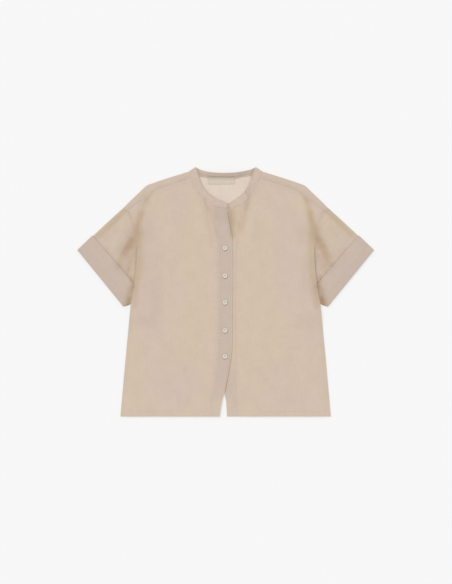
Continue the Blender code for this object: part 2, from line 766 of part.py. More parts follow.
def make_button(collection, name, x, y, seat):
    """A turned button with a raised rim round a dished middle."""
    dish_radius = BUTTON_RADIUS - BUTTON_RIM_WIDTH
    profile = [
        (0.0, BUTTON_HEIGHT - BUTTON_DISH),
        (dish_radius - BUTTON_DISH, BUTTON_HEIGHT - BUTTON_DISH),
        (dish_radius, BUTTON_HEIGHT),
        (BUTTON_RADIUS - BUTTON_EDGE, BUTTON_HEIGHT),
        (BUTTON_RADIUS, BUTTON_HEIGHT - BUTTON_EDGE),
        (BUTTON_RADIUS, BUTTON_EDGE),
        (BUTTON_RADIUS - BUTTON_EDGE, 0.0),
        (0.0, 0.0),
    ]
    mesh = bpy.data.meshes.new(name)
    corners = [(radius * MM, 0.0, height * MM) for radius, height in profile]
    mesh.from_pydata(corners, [(i, i + 1) for i in range(len(corners) - 1)], [])
    piece = add_object(collection, name, mesh, BUTTON_PAINT)
    piece.location = (x * MM, y * MM, seat * MM)
    turn = piece.modifiers.new("turn", "SCREW")
    turn.steps = turn.render_steps = BUTTON_STEPS
    turn.use_merge_vertices = True
    turn.merge_threshold = 0.01 * MM
    turn.use_smooth_shade = True


def main():
    for old in list(bpy.data.objects):
        bpy.data.objects.remove(old, do_unlink=True)
    collection = bpy.data.collections.new("band_collar_blouse")
    bpy.context.scene.collection.children.link(collection)
    make_back(collection)
    right_neck = stretch(RIGHT_RUN, RIGHT_AT_SHOULDER, RIGHT_AT_PLACKET, FRONT_NECK_COLUMNS)
    left_neck = stretch(LEFT_RUN, LEFT_AT_SHOULDER, LEFT_AT_PLACKET, FRONT_NECK_COLUMNS)
    make_front(collection, RIGHT, "front_right", PLACKET_RIGHT, right_neck)
    make_front(collection, LEFT, "front_left", PLACKET_LEFT, left_neck)
    right_end = stretch(RIGHT_RUN, RIGHT_AT_PLACKET, RIGHT_END, PLACKET_COLUMNS)
    left_end = stretch(LEFT_RUN, LEFT_AT_PLACKET, LEFT_AT_EDGE, PLACKET_COLUMNS)
    make_placket(collection, "placket_right", PLACKET_RIGHT, RIGHT_BAND_UNDERSIDE, right_end)
    make_placket(collection, "placket_left", PLACKET_LEFT, LEFT_BAND_UNDERSIDE, left_end)
    for side, word in ((RIGHT, "right"), (LEFT, "left")):
        make_sleeve(collection, side, f"sleeve_{word}")
        make_cuff(collection, side, f"cuff_{word}")
    make_collar_band(collection)
    make_label(collection)
    seat = RIGHT_BAND_UNDERSIDE + BAND_WALL + SEAM_GAP
    for number, y in enumerate(BUTTON_Y, 1):
        make_button(collection, f"button_{number}", BUTTON_X, y, seat)


main()
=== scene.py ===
"""The looks of a band-collar linen blouse that is laid flat: cloth, seams, stitches, buttons, light.

+X points to the wearer's left, +Y from the hem to the neck and +Z up off the surface that the blouse
lies on. Tables and sizes are in millimetres. What is alike on both halves is written once, as
distances out from the middle line, and side turns it round: RIGHT is the wearer's right, at -X.
"""

from collections import namedtuple

import bmesh
import bpy
import numpy as np
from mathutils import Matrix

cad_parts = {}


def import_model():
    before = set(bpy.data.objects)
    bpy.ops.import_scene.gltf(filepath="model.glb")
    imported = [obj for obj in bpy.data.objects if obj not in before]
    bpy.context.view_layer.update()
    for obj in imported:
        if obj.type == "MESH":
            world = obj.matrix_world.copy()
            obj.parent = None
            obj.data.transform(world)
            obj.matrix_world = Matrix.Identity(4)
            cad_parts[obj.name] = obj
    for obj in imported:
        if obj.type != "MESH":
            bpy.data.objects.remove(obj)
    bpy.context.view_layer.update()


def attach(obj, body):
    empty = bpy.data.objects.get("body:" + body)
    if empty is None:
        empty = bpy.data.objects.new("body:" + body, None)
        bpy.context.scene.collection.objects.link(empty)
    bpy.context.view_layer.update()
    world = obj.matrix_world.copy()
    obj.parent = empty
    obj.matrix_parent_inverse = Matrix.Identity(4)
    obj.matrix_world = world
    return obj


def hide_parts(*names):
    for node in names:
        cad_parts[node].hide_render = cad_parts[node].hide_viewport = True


MM = 0.001
RIGHT, LEFT = -1, 1
SIDES = ((RIGHT, "right"), (LEFT, "left"))

# Walls: one ply of cloth, the bands, the turned-back cuffs and the label
PLY = 0.6
BAND_WALL = 1.2
CUFF_WALL = 1.6
LABEL_WALL = 0.5

# How the plies lie: the solids' own levels
CLOTH = 1.0
SEAM_GAP = 0.05
LAID_GAP = 0.4
LOOSE_GAP = 1.5
FOLD_RADIUS = 1.75
CUFF_RADIUS = 2.5
LEFT_BAND_FACE = 2.7
RIGHT_BAND_FACE = 4.4
TIP_RADIUS = 2.2

HEM_Y = -312.5


def table(row_type, rows):
    return [row_type(*row) for row in rows]


Place = namedtuple("Place", "out y")
SIDE_SEAM = table(Place, [
    (262.8, HEM_Y),
    (250.3, -172),
    (236.5, -31.6),
    (231.6, -4.1),
    (224.1, 48.4),
    (222, 78),
])
ARMHOLE = table(Place, [
    (222, 78),
    (221.6, 116),
    (227, 150),
    (230.5, 176),
    (235.5, 189.5),
    (244.1, 200.9),
])
ARMHOLE_TUCKED = [Place(222.4, 78), Place(213, 60), Place(199, 52)]
ARMHOLE_OVER_SHOULDER = Place(254.9, 209.2)
SHOULDER_FOLD = table(Place, [
    (254.9, 209.2),
    (240.6, 223.7),
    (215.6, 247.5),
    (197.6, 264.2),
    (184.3, 269.6),
    (139.3, 284.7),
    (92.9, 299.2),
])
SHOULDER_SEAM = table(Place, [
    (244.1, 200.9),
    (210.8, 227.2),
    (195.3, 240.9),
    (184.1, 247.6),
    (162, 258),
    (139.1, 264.9),
])
SLEEVE_TOP = [Place(254.9, 209.2), Place(276, 190.4), Place(330.2, 137.2)]
SLEEVE_UNDERARM = Place(203, 22)
CUFF_UPPER = table(Place, [
    (331.8, 138.6),
    (316.6, 121.2),
    (269.1, 66),
    (234.1, 25.9),
    (211, -5),
])
CUFF_LOWER = [Place(370.7, 103.6), Place(312.5, 32.2), Place(255.3, -38.1)]
CUFF_UNDERARM = [Place(237, -31.2), Place(255.3, -38.1)]

# How far a cuff's outer end reaches out past the sleeve's
CUFF_STEP = Place(1.1, 1.2)

# The collar band, section by section: where it is sewn on, its free edge, and how far that stands up
Section = namedtuple("Section", "seam_x seam_y top_x top_y lift")
RIGHT_TIP = Section(-92.5, 299.3, -74.9, 311, 0)
LEFT_TIP = Section(92.5, 299.3, 74.9, 311, 0)
RIGHT_END = Section(2.8, 207.4, 4.7, 219.4, 0)
RIGHT_AT_PLACKET = Section(-33, 217.3, -24.8, 232, 0)
RIGHT_AT_SHOULDER = Section(-86.7, 283.5, -66.8, 287.5, 0)
LEFT_END = Section(-12, 209.3, -10, 221.3, 0)
LEFT_AT_EDGE = Section(4, 207.8, 8.2, 219.6, 0)
LEFT_AT_PLACKET = Section(40, 216.4, 30.4, 234.6, 0)
LEFT_AT_SHOULDER = Section(86.2, 283, 64.6, 287.5, 0)
BACK_MIDDLE = Section(0, 280.5, 0, 295.8, 13)
BAND_RIGHT = [
    RIGHT_END,
    Section(-9, 209.6, -4.5, 223.7, 0),
    RIGHT_AT_PLACKET,
    Section(-47, 227.7, -37.5, 240.8, 0),
    Section(-60.9, 240.3, -49.9, 252.5, 0),
    Section(-74.1, 257.2, -59.9, 267.5, 0),
    RIGHT_AT_SHOULDER,
    Section(-90, 293, -70, 300, 0),
]
BAND_LEFT = [
    LEFT_END,
    LEFT_AT_EDGE,
    Section(22, 209.4, 17.4, 225.4, 0),
    LEFT_AT_PLACKET,
    Section(53.4, 227.2, 40.3, 242.2, 0),
    Section(64, 238.5, 49.3, 251, 0),
    Section(74, 257, 58, 265.5, 0),
    LEFT_AT_SHOULDER,
    Section(89.8, 292.3, 69.2, 300, 0),
]
BAND_BACK = [
    Section(-77, 291.8, -66.3, 305.6, 1.4),
    Section(-67.6, 288.2, -60.9, 303.2, 3.4),
    Section(-45.9, 283.4, -42.5, 298.6, 9),
    Section(-20, 281, -19, 296.2, 12),
    BACK_MIDDLE,
    Section(24, 281.6, 22, 296.8, 12),
    Section(40, 285, 38, 298.9, 9.5),
    Section(66, 289.6, 60.9, 303.8, 3.4),
    Section(77, 292.8, 66.3, 306.2, 1.4),
]

# The button bands down the fronts: the edge sewn to the front and the free edge, level by level
Level = namedtuple("Level", "y sewn_x free_x")
PLACKET_RIGHT = table(Level, [
    (206.8, -33.3, 2),
    (188, -29.5, 5.7),
    (159, -24.8, 11.7),
    (134, -21.6, 16.2),
    (88, -19.6, 17.2),
    (-34, -19.4, 17.2),
    (-137, -20, 16),
    (-169, -22.6, 12.9),
    (-214, -28.5, 5.7),
    (-252, -33.5, -2.4),
    (-272, -36, -8.3),
    (-296, -38.5, -12.3),
    (HEM_Y, -39.5, -14.6),
])
PLACKET_LEFT = table(Level, [
    (207.4, 40, 4.4),
    (159, 34, -2),
    (108, 28, -8),
    (50, 26, -9.5),
    (-137, 26, -9),
    (-214, 27, -6.2),
    (-253, 28.2, -2.9),
    (-272, 29, 0.6),
    (-296, 30.2, 2.4),
    (HEM_Y, 31, 3.2),
])
VENT_TOP = Place(-4.5, -238)
VENT_RIGHT_X = -19.0
VENT_LEFT_X = 7.5

# How high the tucked sleeve and cuff lift the side of the body, level by level, and how far in from
# the side
TUCK = [(-100, 0), (-48, 5.5), (30, 5.5), (50, 4.2), (84, 4.1), (128, 0)]
TUCK_FLAT_OUT = 193.0
TUCK_END_OUT = 150.0
SIDE_SLOPE = 22.0
PLACKET_SLOPE = 45.0
SIDE_PINCH = [(30, LAID_GAP), (90, LOOSE_GAP)]

# Soft ridges (height over 0) and troughs, each along a line and fading at its ends. The first rows
# are the solids' own creases, and the rest are the finer ones.
Crease = namedtuple("Crease", "x0 y0 x1 y1 width height")
FRONT_CREASES = table(Crease, [
    (-209, 224, -222, 150, 9, -1),
    (-197, 216, -203, 140, 14, 1.4),
    (211, 223, 222, 152, 9, -1),
    (199, 214, 205, 136, 14, 1.4),
    (-54, 222, -34, 158, 8, -0.9),
    (-66, 214, -52, 120, 14, 1.3),
    (57, 222, 44, 150, 8, -0.9),
    (72, 214, 62, 120, 14, 1.3),
    (-182, 60, -178, -60, 22, 1.2),
    (-150, -70, -158, -290, 26, 1.3),
    (-92, 90, -98, -240, 24, 0.9),
    (178, 70, 176, -70, 22, 1.2),
    (148, -60, 158, -290, 26, 1.3),
    (88, 60, 96, -250, 24, 0.9),
    (-216, 206, -226, 132, 4.5, -0.5),
    (217, 205, 226, 134, 4.5, -0.5),
    (-186, 238, -181, 176, 6, -0.3),
    (-150, 250, -143, 150, 9, -0.3),
    (-118, 256, -112, 120, 10, 0.35),
    (-84, 246, -74, 150, 7, -0.35),
    (186, 236, 180, 170, 6, -0.3),
    (152, 250, 146, 140, 9, -0.3),
    (120, 254, 112, 110, 10, 0.35),
    (88, 244, 78, 140, 7, -0.35),
    (62, 232, 50, 196, 4, -0.7),
    (50, 214, 38, 118, 5, -0.5),
    (-62, 236, -54, 205, 4, -0.5),
    (-206, 100, -190, 20, 6, -0.5),
    (-212, 70, -204, -30, 5, 0.4),
    (-196, -20, -186, -120, 7, -0.4),
    (207, 98, 191, 16, 6, -0.5),
    (213, 66, 205, -34, 5, 0.4),
    (197, -26, 187, -128, 7, -0.4),
    (-128, 60, -134, -90, 8, -0.3),
    (-212, -150, -222, -290, 9, -0.4),
    (-116, -110, -124, -280, 7, 0.35),
    (-64, -60, -70, -230, 8, -0.3),
    (124, 40, 130, -100, 8, -0.3),
    (210, -160, 220, -292, 9, -0.4),
    (116, -120, 122, -270, 7, 0.35),
    (62, -40, 66, -220, 8, -0.3),
])
SLEEVE_CREASES = table(Crease, [
    (229, 136, 268, 68, 8, -1.1),
    (242, 168, 288, 92, 16, 2),
    (234, 106, 250, 60, 8, 1.1),
    (268, 176, 312, 132, 11, 0.9),
    (236, 164, 227, 96, 6, -1),
    (240, 120, 272, 62, 3.5, -0.7),
    (247, 190, 262, 150, 5, 0.5),
    (256, 188, 300, 142, 5, -0.5),
    (250, 150, 272, 112, 4, -0.3),
    (228, 92, 240, 42, 4, -0.5),
    (292, 118, 300, 104, 3, 0.3),
])
CREASE_END = 0.22

# Painted shade: the cloth is painted darker and warmer in its folds, in the hollows beside seams,
# cuffs and the collar's tips, and under raised edges; in the folds it also stands for the deeper
# colour of folded sheer cloth. Each is written as a crease is, with a depth from 0 to 1.
PAINTED_SHADES = table(Crease, [
    (-174, 256, -206, 222, 4, 0.25),
    (-192, 246, -224, 150, 8.5, 0.30),
    (-209, 214, -232, 112, 10, 0.30),
    (-222, 172, -236, 96, 14, 0.27),
    (-230, 142, -260, 84, 13, 0.20),
    (-229, 140, -277, 46, 9.5, 0.36),
    (-222, 132, -225, 12, 6, 0.22),
    (-240, 124, -245, 34, 14, 0.28),
    (-213, 172, -214, 22, 9, 0.30),
    (-216, 54, -228, -56, 8, 0.30),
    (-198, 208, -198, -30, 24, 0.10),
    (-240, 44, -228, 4, 6.5, 0.55),
    (-232, 18, -250, -46, 9.5, 0.50),
    (-238, -10, -248, -50, 5, 0.50),
    (-240, 214, -330, 126, 7.5, 0.34),
    (-242, 62, -246, 36, 3, 0.30),
    (-311, 121, -234, 31, 4.5, 0.16),
    (-252, 206, -236, 192, 2.2, 0.26),
    (-244, 196, -232, 178, 2.2, 0.30),
    (-240, 184, -228, 164, 2, 0.26),
    (182, 252, 212, 218, 4, 0.28),
    (196, 244, 222, 152, 9, 0.28),
    (208, 214, 231, 114, 10, 0.28),
    (221, 172, 236, 100, 13, 0.30),
    (228, 146, 271, 50, 11, 0.42),
    (222, 132, 226, 12, 6, 0.14),
    (240, 124, 243, 34, 14, 0.26),
    (212, 166, 213, 22, 9, 0.30),
    (217, 54, 228, -56, 9, 0.36),
    (197, 208, 198, -30, 24, 0.10),
    (240, 46, 227, 4, 6.5, 0.60),
    (231, 20, 250, -46, 10, 0.60),
    (237, -8, 248, -50, 5.5, 0.60),
    (238, 216, 328, 128, 8, 0.34),
    (250, 204, 236, 190, 2.2, 0.24),
    (311, 121, 234, 31, 4.5, 0.18),
    (244, 192, 230, 172, 2.2, 0.30),
    (7, 216, 20, 124, 7, 0.46),
    (14, 214, 24, 158, 11, 0.28),
    (60, 240, 33, 136, 9, 0.24),
    (56, 236, 47, 196, 5.5, 0.14),
    (-56, 238, -41, 196, 3.6, 0.32),
    (-43, 228, -20, 128, 5.5, 0.20),
    (-52, 226, -30, 92, 7, 0.14),
    (6.5, 222, 9.5, 202, 2, 0.50),
    (55, 268, 62, 232, 2, 0.30),
    (-72, 309, -58, 284, 4, 0.30),
    (72, 309, 60, 284, 4, 0.34),
    (46, 262, 60, 226, 2.6, 0.45),
    (17.5, -140, -4, -262, 2.6, 0.30),
])

# Broad patches where the cloth shows pinker, over 0, or more yellow, under 0
Patch = namedtuple("Patch", "x y reach_x reach_y tint")
TINTS = table(Patch, [
    (-196, 100, 30, 130, 1),
    (-121, 216, 20, 70, 0.8),
    (-112, -250, 56, 50, 0.9),
    (-189, -76, 26, 90, 0.8),
    (158, 100, 40, 160, 1),
    (198, -24, 24, 120, 0.7),
    (122, -262, 50, 40, 0.8),
    (-290, 120, 34, 40, 0.3),
    (-217, 92, 6, 80, -2.2),
    (213, 128, 7, 90, -2),
    (-184, 226, 18, 18, -1.4),
    (188, 218, 20, 18, -1.6),
    (-226, -240, 26, 70, -0.7),
    (-74, 100, 34, 140, -0.7),
    (76, -20, 50, 150, -0.8),
    (-66, -100, 40, 90, -0.6),
    (26, 165, 12, 44, -2),
    (-290, 170, 40, 22, -1.2),
    (290, 170, 40, 22, -1.2),
])

# Soft waves of the cloth: how high, how much shorter their run along y counts, their size and seed
Wave = namedtuple("Wave", "height along size seed")
TINT_WAVES = table(Wave, [(0.45, 0.35, 24, 95), (0.2, 1, 9, 96)])
FRONT_WAVES = table(Wave, [(0.30, 0.22, 34, 21), (0.10, 0.5, 13, 22), (0.05, 1, 5, 23)])
PLACKET_WAVES = table(Wave, [(0.10, 1, 16, 54), (0.05, 1, 5, 55)])
SLEEVE_WAVES = table(Wave, [(0.22, 1, 19, 64), (0.08, 1, 7, 65)])
CUFF_WAVES = table(Wave, [(0.20, 1, 24, 71)])
CUFF_EDGE_WAVES = table(Wave, [(0.10, 1, 8, 72)])
COLLAR_WAVES = table(Wave, [(0.16, 1, 6, 81)])
LABEL_WAVES = table(Wave, [(0.12, 1, 9, 91)])

# Hand-made edges. A seam dips at its line, its allowance shows as a low step out to reach, and it
# puckers: small ripples across it, a pitch apart.
Seam = namedtuple("Seam", "dip step reach pucker pitch")
SHOULDER_FINISH = Seam(0.32, 0.14, 9, 0.10, 8)
ARMHOLE_FINISH = Seam(0.04, 0.10, 8, 0.42, 5.4)
SIDE_FINISH = Seam(0.05, 0.08, 9, 0.08, 12)
NECK_FINISH = Seam(0.03, 0.08, 7, 0.20, 5.4)
PLACKET_FINISH = Seam(0.08, 0.08, 7, 0.10, 6.4)
HIDDEN_FINISH = Seam(0.02, 0, 7, 0.03, 9)
CUFF_FINISH = Seam(0.22, 0, 1, 0.16, 8)
HEM_FINISH = Seam(0, 0.30, 12.4, 0.08, 10)
ROLL = 1.3
STEP_EDGE = 1.0
STITCH_TROUGH = 0.14
HEM_TROUGH = 0.03
TROUGH_WIDTH = 0.9

# How a seam's ripples wander and fade along it, over so many pitches, and where they are across it,
# in shares of its reach
WANDER = 0.7
WANDER_SIZE = 2.5
FADE = 0.35
FADE_SIZE = 4.0
RIPPLE_MIDDLE = 0.5
RIPPLE_WIDTH = 1.1

# Further out than any corner of the hem
BEYOND = 300.0

# Stitching
STITCH_LENGTH = 2.4
STITCH_PITCH = 3.0
STITCH_WANDER = 0.06
THREAD_RADIUS = 0.17
THREAD_SUNK = 0.3 * THREAD_RADIUS
HEM_STITCH = 12.6
HEM_STITCH_IN = 3.0
EDGE_STITCH = 4.4
BAND_STITCH = 2.4

# Buttons and buttonholes
BUTTON_X = -1.6
BUTTON_Y = [108.4, 39.1, -27.5, -97.5, -162.3]
BUTTON_TURNS = [12, -31, 48, 5, -18]
BUTTON_SEAT = 4.8
BUTTON_HOLE_RADIUS = 0.75
BUTTON_HOLE_OUT = 1.55
BUTTONHOLE_LENGTH = 15.0
BUTTONHOLE_DROP = 1.0
BUTTONHOLE_STITCHES = 40
BUTTONHOLE_EDGES = (0.15, 1.25)
BUTTONHOLE_BAR = 1.5
BAR_STITCHES = 4
BUTTONHOLE_THREAD = 0.2

# How far the threads of a buttonhole's sides and bars lie above the band
SIDE_LIFT = 0.12
BAR_LIFT = 0.2

LABEL_RIGHT_X = -44.0
LABEL_LEFT_X = 22.0
LABEL_COLUMNS = 57
LABEL_LINES = 20
LabelRow = namedtuple("LabelRow", "y height")
LABEL_ROWS = table(LabelRow, [
    (268.2, 1.2),
    (273.4, 1.2),
    (278.4, 1.3),
    (281.4, 2.2),
    (284.4, 3.6),
])

# Shares of the light that the linen gives back, by how many more plies than one show: none, one,
# two, and for three a painted shade tone, as in the hollow of the collar
ONE_PLY = (0.668, 0.566, 0.488)
TWO_PLIES = (0.576, 0.467, 0.382)
MANY_PLIES = (0.521, 0.425, 0.366)
IN_THE_SHADE = (0.455, 0.362, 0.282)
PLIES_SHOWN = 3.0

# The deepest painted shade, and how much of it a depth of 1 shows
PAINTED_SHADE_TONE = (0.298, 0.170, 0.052)
PAINTED_SHADE_SHARE = 0.6
DEEPEST_PAINTED_SHADE = 1.5

# What the tints take from those, from most yellow to most pink
YELLOW_SHARE = (1, 1, 0.935)
PLAIN_SHARE = (0.993, 0.990, 0.970)
PINK_SHARE = (0.985, 0.972, 1)


# ---- curves and patches

CURVE_STEPS = 12


def eased(t):
    t = np.clip(t, 0.0, 1.0)
    return t * t * (3 - 2 * t)


def bell(distance, width):
    return np.exp(-((distance / width) ** 2))


def along_rows(value, rows):
    """The second column of a two-column table at a value of its first, level at each row."""
    rows = sorted(rows)
    result = rows[0][1]
    for low, high in zip(rows, rows[1:]):
        result = result + (high[1] - low[1]) * eased((value - low[0]) / (high[0] - low[0]))
    return result


def unit(vector):
    return vector / np.linalg.norm(vector)


def smooth_through(rows):
    """Closely spaced places on a smooth curve through the rows, of any number of columns."""
    rows = np.array(rows, float)
    ends = np.vstack([2 * rows[0] - rows[1], rows, 2 * rows[-1] - rows[-2]])
    places = []
    for before, start, end, after in zip(ends, ends[1:], ends[2:], ends[3:]):
        chord = np.linalg.norm(end - start)
        leave = unit(end - before) * chord
        arrive = unit(after - start) * chord
        for t in np.arange(CURVE_STEPS) / CURVE_STEPS:
            places.append(
                (2 * t**3 - 3 * t**2 + 1) * start
                + (t**3 - 2 * t**2 + t) * leave
                + (3 * t**2 - 2 * t**3) * end
                + (t**3 - t**2) * arrive
            )
    return np.array(places + [rows[-1]])


def spread(places, shares):
    """Places at the given shares, 0 to 1, of the length of a curve."""
    runs = np.linalg.norm(np.diff(places, axis=0), axis=1)
    lengths = np.concatenate([[0.0], np.cumsum(runs)]) / runs.sum()
    return np.stack([np.interp(shares, lengths, column) for column in places.T], axis=1)


def even(count):
    return np.linspace(0.0, 1.0, count + 1)


def curve(rows, count):
    """count + 1 places at even distances on a smooth curve through the rows."""
    return spread(smooth_through(rows), even(count))


def straight(start, end, shares):
    return spread(np.array([tuple(start), tuple(end)]), shares)


def half_curve(side, rows, shares):
    return spread(smooth_through([(side * row.out, row.y) for row in rows]), shares)


def patch(bottom, top, first, last, across, up):
    """A grid of places filled in between four edges that meet at their corners."""
    u = across[None, :, None]
    v = up[:, None, None]
    corners = (
        (1 - u) * (1 - v) * bottom[0]
        + u * (1 - v) * bottom[-1]
        + (1 - u) * v * top[0]
        + u * v * top[-1]
    )
    return (
        (1 - v) * bottom[None]
        + v * top[None]
        + (1 - u) * first[:, None]
        + u * last[:, None]
        - corners
    )


def tip_outward(tip):
    """The direction, in the plane, in which the fold at a tip of the collar bulges out."""
    line = unit(np.subtract(tip[2:4], tip[:2]))
    return np.array([-line[1], line[0]]) * np.sign(line[0])


def rolled_in(tip):
    """The section where the fold at a tip begins, its radius in from the outermost line."""
    shift = -TIP_RADIUS * tip_outward(tip)
    return Section(*np.add(tip[:2], shift), *np.add(tip[2:4], shift), tip.lift)


def stretch(run, first, last, count):
    """count + 1 sections at even distances between two of those that shape a run of the band."""
    places = smooth_through(run)
    start, end = run.index(first) * CURVE_STEPS, run.index(last) * CURVE_STEPS
    if start < end:
        return spread(places[start : end + 1], even(count))
    return spread(places[end : start + 1], even(count))[::-1]


def beside(sections):
    """The panels' edge along a stretch of the band: its seam, moved out by the seam's gap."""
    out = sections[:, :2] - sections[:, 2:4]
    return sections[:, :2] + SEAM_GAP * out / np.linalg.norm(out, axis=1)[:, None]


RIGHT_TIP_START = rolled_in(RIGHT_TIP)
LEFT_TIP_START = rolled_in(LEFT_TIP)
RIGHT_RUN = BAND_RIGHT + [RIGHT_TIP_START]
LEFT_RUN = BAND_LEFT + [LEFT_TIP_START]
BACK_RUN = [RIGHT_TIP_START] + BAND_BACK + [LEFT_TIP_START]


# ---- relief


def drift(x, y, size, seed):
    """Smooth waves of no fixed shape, from -1 to 1, about size apart."""
    count = 64
    heights = np.random.default_rng(seed).uniform(-1.0, 1.0, (count, count))
    u, v = np.asarray(x) / size + 500.0, np.asarray(y) / size + 500.0
    i, j = np.floor(u).astype(int), np.floor(v).astype(int)
    fu, fv = eased(u - i), eased(v - j)
    low = heights[i % count, j % count] * (1 - fu) + heights[(i + 1) % count, j % count] * fu
    i, j = i, j + 1
    high = heights[i % count, j % count] * (1 - fu) + heights[(i + 1) % count, j % count] * fu
    return low * (1 - fv) + high * fv


def waves_at(waves, x, y):
    return sum(wave.height * drift(x, wave.along * y, wave.size, wave.seed) for wave in waves)


def crease_height(creases, x, y):
    """The sum of soft ridges and troughs at a place, each fading at its ends."""
    total = np.zeros(np.shape(x))
    for crease in creases:
        run = np.array([crease.x1 - crease.x0, crease.y1 - crease.y0])
        length = np.linalg.norm(run)
        dx, dy = x - crease.x0, y - crease.y0
        along = (dx * run[0] + dy * run[1]) / length**2
        off = (dx * run[1] - dy * run[0]) / length
        fade = eased(along / CREASE_END) * eased((1 - along) / CREASE_END)
        total = total + crease.height * fade * bell(off, crease.width)
    return total


def from_line(line, x, y):
    """The distance of each place from a line, and how far along the line its nearest point is."""
    best = np.full(np.shape(x), np.inf)
    along = np.zeros(np.shape(x))
    start_run = 0.0
    for start, end in zip(line, line[1:]):
        run = end - start
        length = np.linalg.norm(run)
        if length == 0.0:
            continue
        share = np.clip(((x - start[0]) * run[0] + (y - start[1]) * run[1]) / length**2, 0.0, 1.0)
        distance = np.hypot(x - start[0] - share * run[0], y - start[1] - share * run[1])
        nearer = distance < best
        best = np.where(nearer, distance, best)
        along = np.where(nearer, start_run + share * length, along)
        start_run += length
    return best, along


def seam_relief(seam, line, x, y, seed):
    """What a seam or hem adds to the height, and to the number of plies, beside its line."""
    distance, along = from_line(line, x, y)
    allowance = 1 - eased((distance - seam.reach) / STEP_EDGE)
    phase = along / seam.pitch + WANDER * drift(along, 0.0, WANDER_SIZE * seam.pitch, seed)
    strength = 1 - FADE + FADE * drift(along, 0.0, FADE_SIZE * seam.pitch, seed + 1)
    near = bell(distance - RIPPLE_MIDDLE * seam.reach, RIPPLE_WIDTH * seam.reach)
    height = seam.step * allowance - seam.dip * bell(distance, ROLL)
    height = height + seam.pucker * np.sin(2 * np.pi * phase) * strength * near
    return height, allowance * np.sign(seam.step)


def trough(line, x, y, depth=STITCH_TROUGH):
    """The shallow trough that a line of stitches draws in."""
    distance, _ = from_line(line, x, y)
    return -depth * bell(distance, TROUGH_WIDTH)


# The depth of painted shade at a place: a darker, warmer colour that stands for shade in folds and
# hollows
def painted_shade_depth(x, y):
    return PAINTED_SHADE_SHARE * np.clip(crease_height(PAINTED_SHADES, x, y), 0.0, DEEPEST_PAINTED_SHADE)


def tint(x, y):
    """The cloth's tint at a place, from 0, yellow, to 1, pink."""
    total = waves_at(TINT_WAVES, x, y)
    for row in TINTS:
        off_x, off_y = (x - row.x) / row.reach_x, (y - row.y) / row.reach_y
        total = total + row.tint * np.exp(-(off_x**2) - off_y**2)
    return np.clip(0.5 + 0.5 * total, 0.0, 1.0)


def back_height(x, y):
    """The underside of the back: on the surface, and lifted over the tucked sleeves and cuffs."""
    inward = (np.abs(x) - TUCK_END_OUT) / (TUCK_FLAT_OUT - TUCK_END_OUT)
    return along_rows(y, TUCK) * eased(inward)


def side_out(y):
    """How far out the side seam or the armhole is, level with y."""
    rows = sorted((row.y, row.out) for row in SIDE_SEAM + ARMHOLE[1:])
    return np.interp(y, *zip(*rows))


def placket_x(levels, y, edge):
    rows = sorted((level.y, getattr(level, edge)) for level in levels)
    return np.interp(y, *zip(*rows))


# ---- meshes

# Places nearer than this are one. A wall's edges, where it turns by this many degrees or more, are
# rounded off by this share of it.
WELD = 0.01
EDGE_ANGLE = 60
EDGE_SHARE = 0.22


def welded(grids, closed_rings):
    """Vertices, faces and row-by-row values of grids, welded where they share places."""
    places, faces, start = [], [], 0
    for grid in grids:
        rows, columns = grid.shape[:2]
        index = start + np.arange(rows * columns).reshape(rows, columns)
        if closed_rings:
            index = np.hstack([index, index[:, :1]])
        quads = np.stack([index[:-1, :-1], index[:-1, 1:], index[1:, 1:], index[1:, :-1]], axis=-1)
        faces.append(quads.reshape(-1, 4))
        places.append(grid.reshape(-1, grid.shape[2]))
        start += rows * columns
    places, faces = np.vstack(places), np.vstack(faces)
    keys = np.round(places[:, :3] / WELD).astype(np.int64)
    _, first, same = np.unique(keys, axis=0, return_index=True, return_inverse=True)
    faces = same.reshape(-1)[faces]
    whole = np.array([len(set(face)) == 4 for face in faces.tolist()])
    return places[first], faces[whole]


def placed(name, data):
    """A new object of the scene's own, with the mesh, light or camera given."""
    thing = bpy.data.objects.new(name, data)
    bpy.context.scene.collection.objects.link(thing)
    return thing


